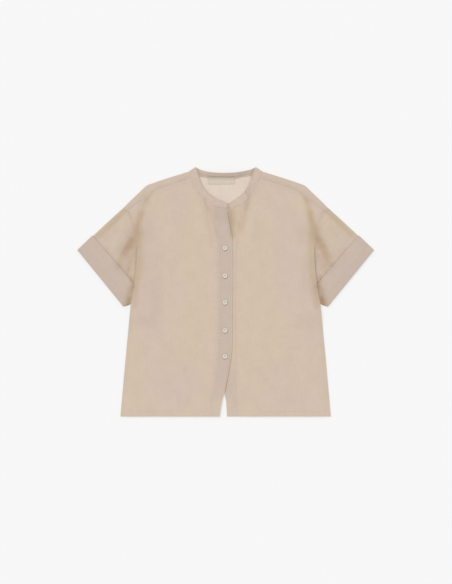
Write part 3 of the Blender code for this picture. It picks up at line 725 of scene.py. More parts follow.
def cloth_piece(
    name, node, grids, wall, material, faces_up=True, closed_rings=False, turn=0.0, pink=0.0,
    toned_above=1.0,
):
    """A shell of cloth from grids on its outer face. Their columns are x, y, z and the plies.

    turn is the angle of the cloth's grain from the blouse's own, in degrees, and pink is what the
    piece adds to the tint. The painted shade and the tint show above the height toned_above.
    """
    places, faces = welded(grids, closed_rings)
    mesh = bpy.data.meshes.new(name)
    mesh.from_pydata((places[:, :3] * MM).tolist(), [], faces.tolist())
    shell = bmesh.new()
    shell.from_mesh(mesh)
    bmesh.ops.recalc_face_normals(shell, faces=shell.faces)
    shell.faces.ensure_lookup_table()
    if (shell.faces[0].normal.z > 0) != faces_up:
        bmesh.ops.reverse_faces(shell, faces=shell.faces)
    shell.to_mesh(mesh)
    shell.free()
    angle = np.radians(turn)
    if places.shape[1] > 4:
        across, along = places[:, 4], places[:, 5]
    else:
        across = places[:, 0] * np.cos(angle) + places[:, 1] * np.sin(angle)
        along = places[:, 1] * np.cos(angle) - places[:, 0] * np.sin(angle)
    grain = mesh.attributes.new("grain", "FLOAT_VECTOR", "POINT")
    vectors = np.stack([across, along, np.zeros(len(places))], axis=1) * MM
    grain.data.foreach_set("vector", vectors.astype(np.float32).ravel())
    x, y, z = places[:, :3].T
    on_top = eased(z - toned_above) * faces_up
    # The plies also carry some painted light and shade, and the second value is painted shade in folds
    # and hollows
    values = {
        "plies": places[:, 3],
        "painted_shade": painted_shade_depth(x, y) * on_top,
        "tint": 0.5 + (tint(x, y) - 0.5) * on_top + pink,
    }
    for key, value in values.items():
        attribute = mesh.attributes.new(key, "FLOAT", "POINT")
        attribute.data.foreach_set("value", value.astype(np.float32))
    mesh.shade_smooth()
    mesh.materials.append(material)
    piece = placed(name, mesh)
    solidify = piece.modifiers.new("wall", "SOLIDIFY")
    solidify.thickness = wall * MM
    solidify.offset = -1
    bevel = piece.modifiers.new("edges", "BEVEL")
    bevel.width = EDGE_SHARE * wall * MM
    bevel.segments = 2
    bevel.limit_method = "ANGLE"
    bevel.angle_limit = np.radians(EDGE_ANGLE)
    bevel.use_clamp_overlap = True
    piece.modifiers.new("shading", "WEIGHTED_NORMAL")
    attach(piece, "root")
    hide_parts(node)
    return piece


def lifted(plan, face):
    """A grid of places in the plane, each with its height and plies."""
    height, plies = face(plan[..., 0], plan[..., 1])
    return np.dstack([plan, height, plies])


# ---- panels

SIDE_ROWS = 18
ARMHOLE_ROWS = 7
VENT_ROWS = 3
STRIP_ROWS = 2
SHOULDER_COLUMNS = 9
NECK_COLUMNS = 6
NECK_SHARE = 0.66
SIDE_CROWDING = 1.15

# How many times finer than the solids the cloth is drawn, across and up
FINE_ACROSS = 6
FINE_UP = 9
BACK_FINE_UP = 7
FOLD_STEPS = 10

SHOULDER_SHARES = even(SHOULDER_COLUMNS * FINE_ACROSS) ** SIDE_CROWDING


def across_panel():
    """Shares across a panel from its side, with one at the corner of shoulder and neck."""
    neck = NECK_SHARE + (1 - NECK_SHARE) * even(NECK_COLUMNS * FINE_ACROSS)
    return np.concatenate([SHOULDER_SHARES * NECK_SHARE, neck[1:]])


def body_edge(side, fine):
    """The outer edge of a body panel, up the side seam and then the armhole."""
    seam = half_curve(side, SIDE_SEAM, even(SIDE_ROWS * fine))
    armhole = half_curve(side, ARMHOLE, even(ARMHOLE_ROWS * fine))
    return np.vstack([seam, armhole[1:]])


def shoulder_seam(side, offset, neck_end):
    """The forward shoulder seam, moved up or down by offset, from the armhole to the neck."""
    rows = [(side * row.out, row.y + offset) for row in SHOULDER_SEAM]
    return spread(smooth_through(rows + [tuple(neck_end)]), SHOULDER_SHARES)


def neck_stretch(side, stops, count):
    """The panels' edge along the stretch of the collar band between two of its sections."""
    run = RIGHT_RUN if side == RIGHT else LEFT_RUN
    first, last = stops[side]
    return beside(stretch(run, first, last, count))


SHOULDER_TO_PLACKET = {
    RIGHT: (RIGHT_AT_SHOULDER, RIGHT_AT_PLACKET),
    LEFT: (LEFT_AT_SHOULDER, LEFT_AT_PLACKET),
}
TIP_TO_SHOULDER = {
    RIGHT: (RIGHT_TIP_START, RIGHT_AT_SHOULDER),
    LEFT: (LEFT_TIP_START, LEFT_AT_SHOULDER),
}
PLACKET_TO_END = {
    RIGHT: (RIGHT_AT_PLACKET, RIGHT_END),
    LEFT: (LEFT_AT_PLACKET, LEFT_AT_EDGE),
}
PLACKETS = {RIGHT: PLACKET_RIGHT, LEFT: PLACKET_LEFT}
BAND_FACES = {RIGHT: RIGHT_BAND_FACE, LEFT: LEFT_BAND_FACE}

# How far the front's face lies under its button band's, and how each is sewn on
BAND_STEPS = {RIGHT: 0.3, LEFT: 0.0}
BAND_FINISHES = {RIGHT: PLACKET_FINISH, LEFT: HIDDEN_FINISH}

# The share of a front's waves that its button band takes away beside it
BAND_CALM = 0.8

# How far in from the neck seam a panel's face rises to the collar band's, less a small step
NECK_SLOPE = 14.0
NECK_STEP = 0.15


def neck_level(side, x):
    """The level of the collar band's face beside a panel. Its left end lies under the right one."""
    if side == RIGHT:
        return np.full(np.shape(x), RIGHT_BAND_FACE)
    span = (x - LEFT_AT_PLACKET.seam_x) / (LEFT_TIP_START.seam_x - LEFT_AT_PLACKET.seam_x)
    return LEFT_BAND_FACE + (RIGHT_BAND_FACE - LEFT_BAND_FACE) * eased(span)


def rise_to_neck(height, distance, level):
    return height + (level - NECK_STEP - height) * (1 - eased(distance / NECK_SLOPE))


# What a hem and a seam's allowance add to the plies that show, and those of the wrap
HEM_PLIES = 0.8
ALLOWANCE_PLIES = 0.3
WRAP_PLIES = 1.3

# How far in from its fold the wrap over a shoulder gets its full relief, and its slanted waves
WRAP_REACH = 6.0
WRAP_WAVES = table(Wave, [(0.25, 1, 26, 14)])
WRAP_SLANT = 0.4


def vent_edge(side, neck_middle):
    """The middle edge of half of the back: up the vent and then up the middle line."""
    hem_x = VENT_RIGHT_X if side == RIGHT else VENT_LEFT_X
    rows = SIDE_ROWS + ARMHOLE_ROWS + 1 - VENT_ROWS
    low = straight((hem_x, HEM_Y), VENT_TOP, even(VENT_ROWS * BACK_FINE_UP))
    high = straight(VENT_TOP, neck_middle, even(rows * BACK_FINE_UP))
    return np.vstack([low, high[1:]])


def back_face(x, y):
    """The underside of the back, which is its outer face, and its plies."""
    hem = 1 - eased((y - HEM_Y - HEM_FINISH.reach) / STEP_EDGE)
    return back_height(x, y), HEM_PLIES * hem


def shoulder_wrap(side):
    """The back's cloth from the shoulder fold over to the forward seam."""
    neck = neck_stretch(side, TIP_TO_SHOULDER, STRIP_ROWS * FINE_ACROSS)
    fold = half_curve(side, SHOULDER_FOLD, SHOULDER_SHARES)
    seam = shoulder_seam(side, SEAM_GAP / 2, neck[-1])
    inward = seam - fold
    inward /= np.linalg.norm(inward, axis=1)[:, None]
    start = fold + inward * FOLD_RADIUS
    armhole = straight(start[0], seam[0], even(STRIP_ROWS * FINE_ACROSS))
    neck[0] = start[-1]
    strip = patch(start, seam, armhole, neck, SHOULDER_SHARES, even(STRIP_ROWS * FINE_ACROSS))
    x, y = strip[..., 0], strip[..., 1]
    relief, allowance = seam_relief(SHOULDER_FINISH, seam, x, y, 11)
    armhole_relief, _ = seam_relief(ARMHOLE_FINISH, armhole, x, y, 12)
    neck_relief, _ = seam_relief(NECK_FINISH, neck, x, y, 13)
    away = eased(from_line(start, x, y)[0] / WRAP_REACH)
    soft = waves_at(WRAP_WAVES, x + WRAP_SLANT * y, y) * away
    height = 2 * FOLD_RADIUS + (relief + armhole_relief + neck_relief) * away + soft
    from_neck = from_line(neck, x, y)[0]
    raised = rise_to_neck(height, from_neck, np.full(np.shape(x), RIGHT_BAND_FACE))
    height = height + (raised - height) * away
    strip = np.dstack([strip, height, WRAP_PLIES + ALLOWANCE_PLIES * allowance])
    turned = []
    for turn in np.linspace(0, np.pi, FOLD_STEPS + 1):
        plan = fold + inward * FOLD_RADIUS * (1 - np.sin(turn))
        level = np.full((len(plan), 1), FOLD_RADIUS * (1 - np.cos(turn)))
        turned.append(np.hstack([plan, level, np.ones((len(plan), 1))]))
    turned[-1] = strip[0]
    return np.vstack([turned, strip[1:]])


def back_half(side):
    wrap = shoulder_wrap(side)
    tip = RIGHT_TIP_START if side == RIGHT else LEFT_TIP_START
    neck = beside(stretch(BACK_RUN, tip, BACK_MIDDLE, NECK_COLUMNS * FINE_ACROSS))
    top = np.vstack([wrap[0, :, :2], neck[1:]])
    edge = body_edge(side, BACK_FINE_UP)
    over = straight(edge[-1], top[0], even(BACK_FINE_UP))
    edge = np.vstack([edge, over[1:]])
    middle = vent_edge(side, neck[-1])
    across = across_panel()
    hem = straight(edge[0], middle[0], across)
    plan = patch(hem, top, edge, middle, across, even(len(edge) - 1))
    return [lifted(plan, back_face), wrap]


def front_lines(side):
    """The edges of a front panel: its side, armhole, shoulder, neck, placket and hem."""
    neck = neck_stretch(side, SHOULDER_TO_PLACKET, NECK_COLUMNS * FINE_ACROSS)
    count = (SIDE_ROWS + ARMHOLE_ROWS) * FINE_UP
    middle = level_line(PLACKETS[side], "sewn_x", neck[-1], count) + (side * SEAM_GAP, 0.0)
    neck[-1] = middle[-1]
    shoulder = shoulder_seam(side, -SEAM_GAP / 2, neck[0] - (0.0, SEAM_GAP))
    edge = body_edge(side, FINE_UP)
    edge[-1] = shoulder[0]
    hem = straight(edge[0], middle[0], across_panel())
    return edge, shoulder, neck, middle, hem


def level_line(levels, edge, neck_end, count):
    """An edge of a button band from the hem up to the collar band, level with the panel's rows."""
    rows = [(getattr(level, edge), level.y) for level in levels[::-1][:-1]]
    return curve(rows + [tuple(neck_end)], count)


def front_base(side, x, y):
    """The outer face of a front panel, as the solid has it, with all its creases."""
    pinch = along_rows(y, SIDE_PINCH)
    inside = eased((side_out(y) - np.abs(x)) / SIDE_SLOPE)
    loose = pinch + (LOOSE_GAP - pinch) * inside
    distance = np.abs(x - placket_x(PLACKETS[side], y, "sewn_x"))
    near = eased(1 - distance / PLACKET_SLOPE)
    beside_band = BAND_FACES[side] - BAND_STEPS[side] - 2 * CLOTH
    creases = crease_height(FRONT_CREASES, x, y) * (1 - near) * inside
    gap = loose + (beside_band - loose) * near + creases
    waves = waves_at(FRONT_WAVES, x, y) * inside * (1 - BAND_CALM * near)
    return back_height(x, y) + CLOTH + gap + CLOTH + waves


def front_face(side):
    """A function of the outer face of a front panel: its height and plies at a place."""
    edge, shoulder, neck, middle, hem = front_lines(side)
    side_seam, armhole = edge[: SIDE_ROWS * FINE_UP + 1], edge[SIDE_ROWS * FINE_UP :]
    edges = [
        (SIDE_FINISH, side_seam, 0.20),
        (ARMHOLE_FINISH, armhole, 0.25),
        (SHOULDER_FINISH, shoulder, 0.30),
        (NECK_FINISH, neck, 0.25),
        (BAND_FINISHES[side], middle, 0.15 if side == RIGHT else 0.05),
        (HEM_FINISH, hem, 0.02),
    ]
    stitches = np.array([(side * BEYOND, HEM_Y + HEM_STITCH), (0.0, HEM_Y + HEM_STITCH)])

    def face(x, y):
        height = front_base(side, x, y) + trough(stitches, x, y, HEM_TROUGH)
        height = rise_to_neck(height, from_line(neck, x, y)[0], neck_level(side, x))
        plies = np.ones(np.shape(x))
        for number, (finish, line, deeper) in enumerate(edges):
            relief, allowance = seam_relief(finish, line, x, y, 31 + 2 * number)
            height = height + relief
            plies = np.maximum(plies, 1 + deeper * allowance)
        return height, plies

    return face


def make_front(side, word, linen):
    edge, shoulder, neck, middle, hem = front_lines(side)
    top = np.vstack([shoulder, neck[1:]])
    plan = patch(hem, top, edge, middle, across_panel(), even(len(edge) - 1))
    face = front_face(side)
    name = f"front_{word}"
    piece = cloth_piece(f"{name}_cloth", name, [lifted(plan, face)], PLY, linen)
    return face


PLACKET_ROWS = 230
PLACKET_COLUMNS = 18

# How far the free edge of the upper band curls up off the lower one, near the neck and at the hem
FREE_CURL = [(-312, 0.9), (-240, 0.6), (-170, -0.2), (110, -0.2), (165, 1.6), (207, 0.3)]

# How many plies show through each band, up its length. Past two, near the neck of the upper band,
# the tone runs into the painted shade.
PLIES = {
    RIGHT: [(-286, 1.2), (-246, 1.95), (150, 1.95), (190, 2.3)],
    LEFT: [(-290, 1.25), (-256, 1.6), (-215, 1.6), (-150, 1.05)],
}

# What each band adds to the tint, the plies at its sewn edge and how far in they grow to the rest,
# from where across the upper band it curls, and how much of a hem's relief a band has
BAND_PINK = {RIGHT: 0.08, LEFT: 0.0}
SEWN_PLIES = 1.15
SEWN_REACH = 5.0
CURL_FROM = 0.45
BAND_HEM = 0.6

# A painted highlight along a band's free edge, shown as so many fewer plies, and how far in it reaches
PAINTED_EDGE_LIGHT = 0.8
PAINTED_EDGE_LIGHT_REACH = 1.8


def placket_face(side):
    """A function of the outer face of a button band: its height and plies at a place."""
    levels = PLACKETS[side]
    _, sewn, free = placket_edges(side)
    stitched = [sewn - (side * EDGE_STITCH, 0.0), free + (side * EDGE_STITCH, 0.0)]
    hem = np.array([(-BEYOND, HEM_Y), (BEYOND, HEM_Y)])

    def face(x, y):
        height = np.full(np.shape(x), BAND_FACES[side])
        for line in stitched:
            height = height + trough(line, x, y)
        relief, _ = seam_relief(BAND_FINISHES[side], sewn, x, y, 51)
        hem_relief, _ = seam_relief(HEM_FINISH, hem, x, y, 53)
        if side == RIGHT:
            width = placket_x(levels, y, "free_x") - placket_x(levels, y, "sewn_x")
            share = (x - placket_x(levels, y, "sewn_x")) / width
            curl = eased((share - CURL_FROM) / (1 - CURL_FROM))
            height = height + along_rows(y, FREE_CURL) * curl
        inward = eased(from_line(sewn, x, y)[0] / SEWN_REACH)
        plies = SEWN_PLIES + (along_rows(y, PLIES[side]) - SEWN_PLIES) * inward
        # Painted highlight: fewer plies, so a lighter tone, along the free edge
        plies = plies - PAINTED_EDGE_LIGHT * bell(from_line(free, x, y)[0], PAINTED_EDGE_LIGHT_REACH)
        return height + relief + BAND_HEM * hem_relief + waves_at(PLACKET_WAVES, x, y), plies

    return face


def placket_edges(side):
    """The edges of a button band at the neck, where it is sewn on, and its free one."""
    neck = neck_stretch(side, PLACKET_TO_END, PLACKET_COLUMNS)
    sewn = level_line(PLACKETS[side], "sewn_x", neck[0], PLACKET_ROWS)
    free = level_line(PLACKETS[side], "free_x", neck[-1], PLACKET_ROWS)
    return neck, sewn, free


def make_placket(side, word, linen):
    neck, sewn, free = placket_edges(side)
    across = even(PLACKET_COLUMNS)
    hem = straight(sewn[0], free[0], across)
    plan = patch(hem, neck, sewn, free, across, even(PLACKET_ROWS))
    face = placket_face(side)
    name = f"placket_{word}"
    grids = [lifted(plan, face)]
    piece = cloth_piece(f"{name}_cloth", name, grids, BAND_WALL, linen, pink=BAND_PINK[side])
    return face


# ---- sleeves and cuffs

TUCKED_COLUMNS = 3
SLEEVE_COLUMNS = 2 * ARMHOLE_ROWS + 1 + TUCKED_COLUMNS
SLEEVE_ROWS = 72
CUFF_ROWS = 30

# How far out from the body's edge the creases of a sleeve reach their full height
CREASE_CLEAR = 10.0

# Columns beside a fold over which the others make room for its radius
FOLD_BLEND = 6

# Rows over which a fold turns to meet the piece that it is sewn to
END_BLEND = 8

# The angle of a sleeve's grain from the body's, in degrees
SLEEVE_TURN = 48.0

# What these pieces add to the tint
SLEEVE_PINK = -0.15
CUFF_PINK = 0.05
COLLAR_PINK = 0.15

# The plies that show through a sleeve, what a seam's allowance adds to its height and plies, the
# allowance along its top, and the painted shade on the sleeve beside the cuff's raised edge, up to a
# reach
SLEEVE_PLIES = 1.4
SEAM_MORE = 0.15
TOP_STRIP = 11.0
TOP_STRIP_EDGE = 4.0
CUFF_SHADE = 0.3
CUFF_SHADE_REACH = 5.0

# A cuff's face: a soft ridge beside its sewn edge, edges that roll down, and its hem inside, which
# ends some way from the fold
EDGE_STEPS = 60
CUFF_PLIES = 1.95
RIDGE_HEIGHT = 0.30
RIDGE_AT = 2.6
RIDGE_WIDTH = 1.8
SEWN_ROLL = 0.3
FOLD_ROLL = 0.5
ROLL_WIDTH = 0.9
CUFF_HEM = 24.0
CUFF_HEM_EDGE = 2.0
CUFF_HEM_HEIGHT = 0.18
CUFF_HEM_PLIES = 0.15


def fold_places(edge, inward, radius, top, plies):
    """The places round a folded edge, between the runs above and below it."""
    places = []
    for turn in np.linspace(0, np.pi, FOLD_STEPS + 1)[1:-1]:
        height = radius * (1 + np.cos(turn) * (1 if top else -1))
        places.append((*(edge + inward * radius * (1 - np.sin(turn))), height, plies))
    return places


def inward_from(edge, other):
    """Directions square to each place of a folded edge, towards the other edge of the tube."""
    run = np.gradient(edge, axis=0)
    square = np.stack([-run[:, 1], run[:, 0]], axis=1)
    square /= np.linalg.norm(square, axis=1)[:, None]
    towards = (square * (other - edge)).sum(axis=1)
    return square * np.sign(towards)[:, None]


def turned_to(directions, last):
    """Directions that turn gradually, over their last rows, to one that is given for the end."""
    rows = np.arange(len(directions))[:, None]
    turning = eased((rows - (len(directions) - 1 - END_BLEND)) / END_BLEND)
    mixed_in = directions * (1 - turning) + last * turning
    return mixed_in / np.linalg.norm(mixed_in, axis=1)[:, None]


def flat_tube(plan, radius, face, plies):
    """The rings of a tube pressed flat. The first and last columns of plan are its folded edges."""
    start_in = inward_from(plan[:, 0], plan[:, -1])
    end_in = inward_from(plan[:, -1], plan[:, 0])
    start_in = turned_to(start_in, unit(plan[-1, 1] - plan[-1, 0]))
    end_in = turned_to(end_in, unit(plan[-1, -2] - plan[-1, -1]))
    near = 1 - eased(np.arange(plan.shape[1]) / FOLD_BLEND)[None, :, None]
    tops = plan + radius * (start_in[:, None] * near + end_in[:, None] * near[:, ::-1])
    shade = lifted(tops, face)
    rings = []
    for row, line in enumerate(plan):
        under = np.zeros((len(tops[row][::2]), 4))
        under[:, :2] = tops[row][::2][::-1]
        under[:, 3] = plies
        ring = [tuple(place) for place in shade[row]]
        ring += fold_places(line[-1], end_in[row], radius, True, plies)
        ring += [tuple(place) for place in under]
        ring += fold_places(line[0], start_in[row], radius, False, plies)
        rings.append(ring)
    return np.array(rings)


def sleeve_edges():
    """The armhole end and the cuff end of a sleeve, for the half at +X."""
    armhole = half_curve(1, ARMHOLE, even(2 * ARMHOLE_ROWS * FINE_ACROSS))[::-1]
    over = straight(ARMHOLE_OVER_SHOULDER, armhole[0], even(FINE_ACROSS))
    tucked = half_curve(1, ARMHOLE_TUCKED, even(TUCKED_COLUMNS * FINE_ACROSS))
    start = np.vstack([np.vstack([over[:-1], armhole]) + (SEAM_GAP, -SEAM_GAP), tucked[1:]])
    end = curve(CUFF_UPPER, SLEEVE_COLUMNS * FINE_ACROSS)
    return start, end


def sleeve_face(x, y):
    """The outer face of a sleeve's front: its height and plies at a place."""
    out = np.abs(x)
    start, end = sleeve_edges()
    beyond = out - side_out(y)
    showing = eased(beyond / CREASE_CLEAR)
    armhole, allowance = seam_relief(ARMHOLE_FINISH, start, out, y, 61)
    cuff, _ = seam_relief(CUFF_FINISH, end, out, y, 63)
    waves = waves_at(SLEEVE_WAVES, x, y)
    creases = crease_height(SLEEVE_CREASES, out, y)
    height = 2 * FOLD_RADIUS + (creases + armhole + waves) * showing + cuff
    top = np.array(SLEEVE_TOP)
    top_strip = 1 - eased((from_line(top, out, y)[0] - TOP_STRIP) / TOP_STRIP_EDGE)
    height = height + SEAM_MORE * top_strip * showing
    # Painted shade on the sleeve beside the cuff's raised edge
    near_cuff = 1 - eased(from_line(end, out, y)[0] / CUFF_SHADE_REACH)
    plies = SLEEVE_PLIES + SEAM_MORE * allowance + SEAM_MORE * top_strip + CUFF_SHADE * near_cuff
    return height, plies


def make_sleeve(side, word, linen):
    start, end = sleeve_edges()
    end = end + (-SEAM_GAP / 2, SEAM_GAP / 2)
    top = curve([tuple(start[0])] + SLEEVE_TOP[1:-1] + [tuple(end[0])], SLEEVE_ROWS)
    underarm = curve([tuple(start[-1]), SLEEVE_UNDERARM, tuple(end[-1])], SLEEVE_ROWS)
    shares = even(len(start) - 1)
    plan = patch(start, end, top, underarm, shares, even(SLEEVE_ROWS)) * (side, 1)
    rings = flat_tube(plan, FOLD_RADIUS, sleeve_face, 1.0)
    name = f"sleeve_{word}"
    piece = cloth_piece(
        f"{name}_cloth", name, [rings], PLY, linen,
        closed_rings=True, turn=side * SLEEVE_TURN, pink=SLEEVE_PINK,
    )


def cuff_face(x, y):
    """The outer face of a cuff's front: its height and plies at a place."""
    out = np.abs(x)
    upper, lower = (curve(rows, EDGE_STEPS) for rows in (CUFF_UPPER, CUFF_LOWER))
    from_upper = from_line(upper, out, y)[0]
    from_lower, along = from_line(lower, out, y)
    ridge = RIDGE_HEIGHT * bell(from_upper - RIDGE_AT, RIDGE_WIDTH)
    roll = -SEWN_ROLL * bell(from_upper, ROLL_WIDTH) - FOLD_ROLL * bell(from_lower, ROLL_WIDTH)
    hem_inside = 1 - eased((from_lower - CUFF_HEM) / CUFF_HEM_EDGE)
    waves = waves_at(CUFF_WAVES, x, y) + waves_at(CUFF_EDGE_WAVES, along, from_lower)
    height = 2 * CUFF_RADIUS + ridge + roll + CUFF_HEM_HEIGHT * hem_inside + waves
    return height, CUFF_PLIES + CUFF_HEM_PLIES * hem_inside


def make_cuff(side, word, linen):
    columns = SLEEVE_COLUMNS * FINE_ACROSS
    end = tuple(np.add(CUFF_UPPER[0], CUFF_STEP))
    upper = curve([end] + CUFF_UPPER[1:], columns) + (SEAM_GAP / 2, -SEAM_GAP / 2)
    lower = curve(CUFF_LOWER, columns)
    outer = straight(upper[0], lower[0], even(CUFF_ROWS))
    underarm = curve([tuple(upper[-1])] + CUFF_UNDERARM, CUFF_ROWS)
    plan = patch(upper, lower, outer, underarm, even(columns), even(CUFF_ROWS)) * (side, 1)
    rings = flat_tube(plan, CUFF_RADIUS, cuff_face, 2.0)
    name = f"cuff_{word}"
    piece = cloth_piece(
        f"{name}_cloth", name, [rings], CUFF_WALL, linen,
        closed_rings=True, turn=side * SLEEVE_TURN, pink=CUFF_PINK,
    )


# ---- collar band and label

# Columns across the band, and sections along each of its stretches
BAND_COLUMNS = 14
BAND_COUNTS = {"end": 5, "placket": 30, "neck": 72, "strip": 22, "back": 60}
TIP_STEPS = 12

# The share of the band's width that lies flat before it stands up at the back, and how steeply
FLAT_SHARE = 0.2
STEEPENS = 1.15
STAND_HEIGHT = BACK_MIDDLE.lift

# The plies that show on the band's front and, inside the neck, at its seam, where the deeper tone is
# partly painted shade. From a share of its width on, and over a further share, the band's back is
# painted lighter, painted light as if it came through the cloth, least where it lies.
FRONT_PLIES = 1.35
COLLAR_TONES = table(Wave, [(0.35, 1, 5, 84)])
INNER_PLIES = 2.0
PAINTED_LIGHT_FROM = 0.1
PAINTED_LIGHT_OVER = 0.6
PAINTED_LIGHT_LEAST = 0.15

# The ripples beside the band's stitches: their height and pitch, how they wander and fade along it,
# and how far in from its seam and its free edge they reach
COLLAR_PUCKER = 0.13
COLLAR_PITCH = 5.2
COLLAR_WANDER = table(Wave, [(0.6, 1, 13, 82)])
COLLAR_STRENGTH = 0.6
COLLAR_FADE = table(Wave, [(0.4, 1, 9, 83)])
SEAM_RIPPLES = 4.0
TOP_RIPPLES = 3.0


def band_row(section, height, run):
    """The places across the band at one section, with their plies and grain. run is along it.

    Where the band stands up, at the back, fewer plies show: painted light, strongest where it stands
    highest.
    """
    seam, top, lift = np.array(section[:2]), np.array(section[2:4]), section[4]
    width = np.linalg.norm(top - seam)
    share = even(BAND_COLUMNS)
    raised = np.clip((share - FLAT_SHARE) / (1 - FLAT_SHARE), 0.0, 1.0)
    from_seam, from_top = share * width, (1 - share) * width
    stitched = bell(from_seam - BAND_STITCH, TROUGH_WIDTH)
    stitched += bell(from_top - BAND_STITCH, TROUGH_WIDTH)
    ripple = np.sin(2 * np.pi * (run / COLLAR_PITCH + waves_at(COLLAR_WANDER, run, 0.0)))
    strength = COLLAR_PUCKER * (COLLAR_STRENGTH + waves_at(COLLAR_FADE, run, from_seam))
    ripple = ripple * strength * (bell(from_seam, SEAM_RIPPLES) + bell(from_top, TOP_RIPPLES))
    waves = waves_at(COLLAR_WAVES, run, from_seam) * np.sin(np.pi * share)
    outward = np.clip(2 * height / TIP_RADIUS - 1, -1.0, 1.0)
    z = height + lift * raised**STEEPENS - outward * STITCH_TROUGH * stitched + waves + ripple
    front = FRONT_PLIES + waves_at(COLLAR_TONES, run, from_seam)
    standing = PAINTED_LIGHT_LEAST + (1 - PAINTED_LIGHT_LEAST) * lift / STAND_HEIGHT
    # Painted light on the standing back of the band, and painted shade at its seam inside the neck
    painted_light = eased((share - PAINTED_LIGHT_FROM) / PAINTED_LIGHT_OVER) * standing
    inside = INNER_PLIES * (1 - painted_light)
    plies = front + (inside - front) * np.clip(1 - height / TIP_RADIUS, 0.0, 1.0)
    plan = seam + (top - seam) * share[:, None]
    along = np.full(share.shape, run)
    return np.column_stack([plan, np.maximum(z, 0.0), plies, along, from_seam])


def band_tip(tip):
    """The sections and heights round the fold at a tip of the collar, from front to back."""
    shift = TIP_RADIUS * tip_outward(tip)
    start = rolled_in(tip)
    rows = []
    for turn in np.linspace(0, np.pi, TIP_STEPS + 1)[1:-1]:
        seam = start[:2] + shift * np.sin(turn)
        top = start[2:4] + shift * np.sin(turn)
        rows.append(((*seam, *top, 0.0), TIP_RADIUS * (1 + np.cos(turn))))
    return rows


def stretches(run, stops, counts):
    sections = [run[0]]
    for first, last, count in zip(stops, stops[1:], counts):
        sections += list(stretch(run, first, last, count))[1:]
    return sections


def band_sections():
    """Every section of the collar band and the height of its outer face, end to end."""
    counts = BAND_COUNTS
    right = stretches(
        RIGHT_RUN,
        [RIGHT_END, RIGHT_AT_PLACKET, RIGHT_AT_SHOULDER, RIGHT_TIP_START],
        [counts["placket"], counts["neck"], counts["strip"]],
    )
    left = stretches(
        LEFT_RUN,
        [LEFT_END, LEFT_AT_EDGE, LEFT_AT_PLACKET, LEFT_AT_SHOULDER, LEFT_TIP_START],
        [counts["end"], counts["placket"], counts["neck"], counts["strip"]],
    )
    back = stretches(BACK_RUN, [RIGHT_TIP_START, BACK_MIDDLE, LEFT_TIP_START], [counts["back"]] * 2)
    rows = [(section, RIGHT_BAND_FACE) for section in right]
    rows += band_tip(RIGHT_TIP)
    rows += [(section, 0.0) for section in back]
    rows += band_tip(LEFT_TIP)[::-1]
    rows += [(section, float(neck_level(LEFT, section[0]))) for section in left[::-1]]
    return rows


def band_rows():
    """Each section of the collar band, its height, and how far along the band it is."""
    sections = band_sections()
    middles = [np.add(section[:2], section[2:4]) / 2 for section, _ in sections]
    runs = np.linalg.norm(np.diff(middles, axis=0), axis=1)
    along = np.concatenate([[0.0], np.cumsum(runs)])
    return [(section, height, run) for (section, height), run in zip(sections, along)]


def make_collar_band(linen):
    grid = np.array([band_row(*row) for row in band_rows()])
    piece = cloth_piece(
        "collar_band_cloth", "collar_band", [grid], BAND_WALL, linen,
        pink=COLLAR_PINK, toned_above=-1.0,
    )


def label_height(x, y):
    bend = np.interp(y, *smooth_through(LABEL_ROWS).T)
    return bend + LABEL_WALL + waves_at(LABEL_WAVES, x, y)


def make_label(tape):
    xs = np.linspace(LABEL_RIGHT_X, LABEL_LEFT_X, LABEL_COLUMNS)
    ys = np.linspace(LABEL_ROWS[0].y, LABEL_ROWS[-1].y, LABEL_LINES)
    x, y = np.meshgrid(xs, ys)
    grid = np.dstack([x, y, label_height(x, y), np.ones(x.shape)])
    piece = cloth_piece("neck_label_tape", "neck_label", [grid], LABEL_WALL, tape)


# ---- stitches

# A thread's rings: shares of its length, and of its radius there
THREAD_RINGS = [(0.12, 0.75), (0.35, 1.0), (0.65, 1.0), (0.88, 0.75)]
THREAD_SIDES = 6

# Places along a line of stitches, and the share of a band that has none at each end
LINE_STEPS = 400
BARE_END = 0.003


def capsules(name, starts, ends, radius, material):
    """Short threads with round ends, one mesh for all of them."""
    sides = THREAD_SIDES
    points, faces = [], []
    for start, end in zip(starts, ends):
        run = unit(end - start)
        across = unit(np.cross(run, (0.0, 0.0, 1.0)) + (1e-9, 0.0, 0.0))
        up = np.cross(across, run)
        base = len(points)
        points.append(start)
        for share, width in THREAD_RINGS:
            for angle in 2 * np.pi * np.arange(sides) / sides:
                off = across * np.cos(angle) + up * np.sin(angle)
                points.append(start + (end - start) * share + off * radius * width)
        points.append(end)
        last = len(points) - 1
        for k in range(sides):
            n = (k + 1) % sides
            faces.append((base, base + 1 + n, base + 1 + k))
            low = base + 1
            for _ in THREAD_RINGS[1:]:
                faces.append((low + k, low + n, low + sides + n, low + sides + k))
                low += sides
            faces.append((low + k, low + n, last))
    mesh = bpy.data.meshes.new(name)
    mesh.from_pydata((np.array(points) * MM).tolist(), [], faces)
    mesh.shade_smooth()
    mesh.materials.append(material)
    piece = placed(name, mesh)
    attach(piece, "root")
    return piece


def stitch_row(line, seed):
    """Starts and ends of the stitches along a line in space."""
    length = np.linalg.norm(np.diff(line, axis=0), axis=1).sum()
    count = int(length / STITCH_PITCH)
    wander = STITCH_WANDER * np.random.default_rng(seed).uniform(-1, 1, count)
    first = (np.arange(count) + wander) * STITCH_PITCH / length
    starts = spread(line, np.clip(first, 0, 1))
    ends = spread(line, np.clip(first + STITCH_LENGTH / length, 0, 1))
    return starts, ends


def on_face(plan, face):
    """A line in the plane, laid on a face."""
    height, _ = face(plan[:, 0], plan[:, 1])
    return np.column_stack([plan, height + THREAD_SUNK])


def cut(line, bare=0.0):
    """Close places along a line, less a bare share of it at each end."""
    return spread(line, bare + (1 - 2 * bare) * even(LINE_STEPS))


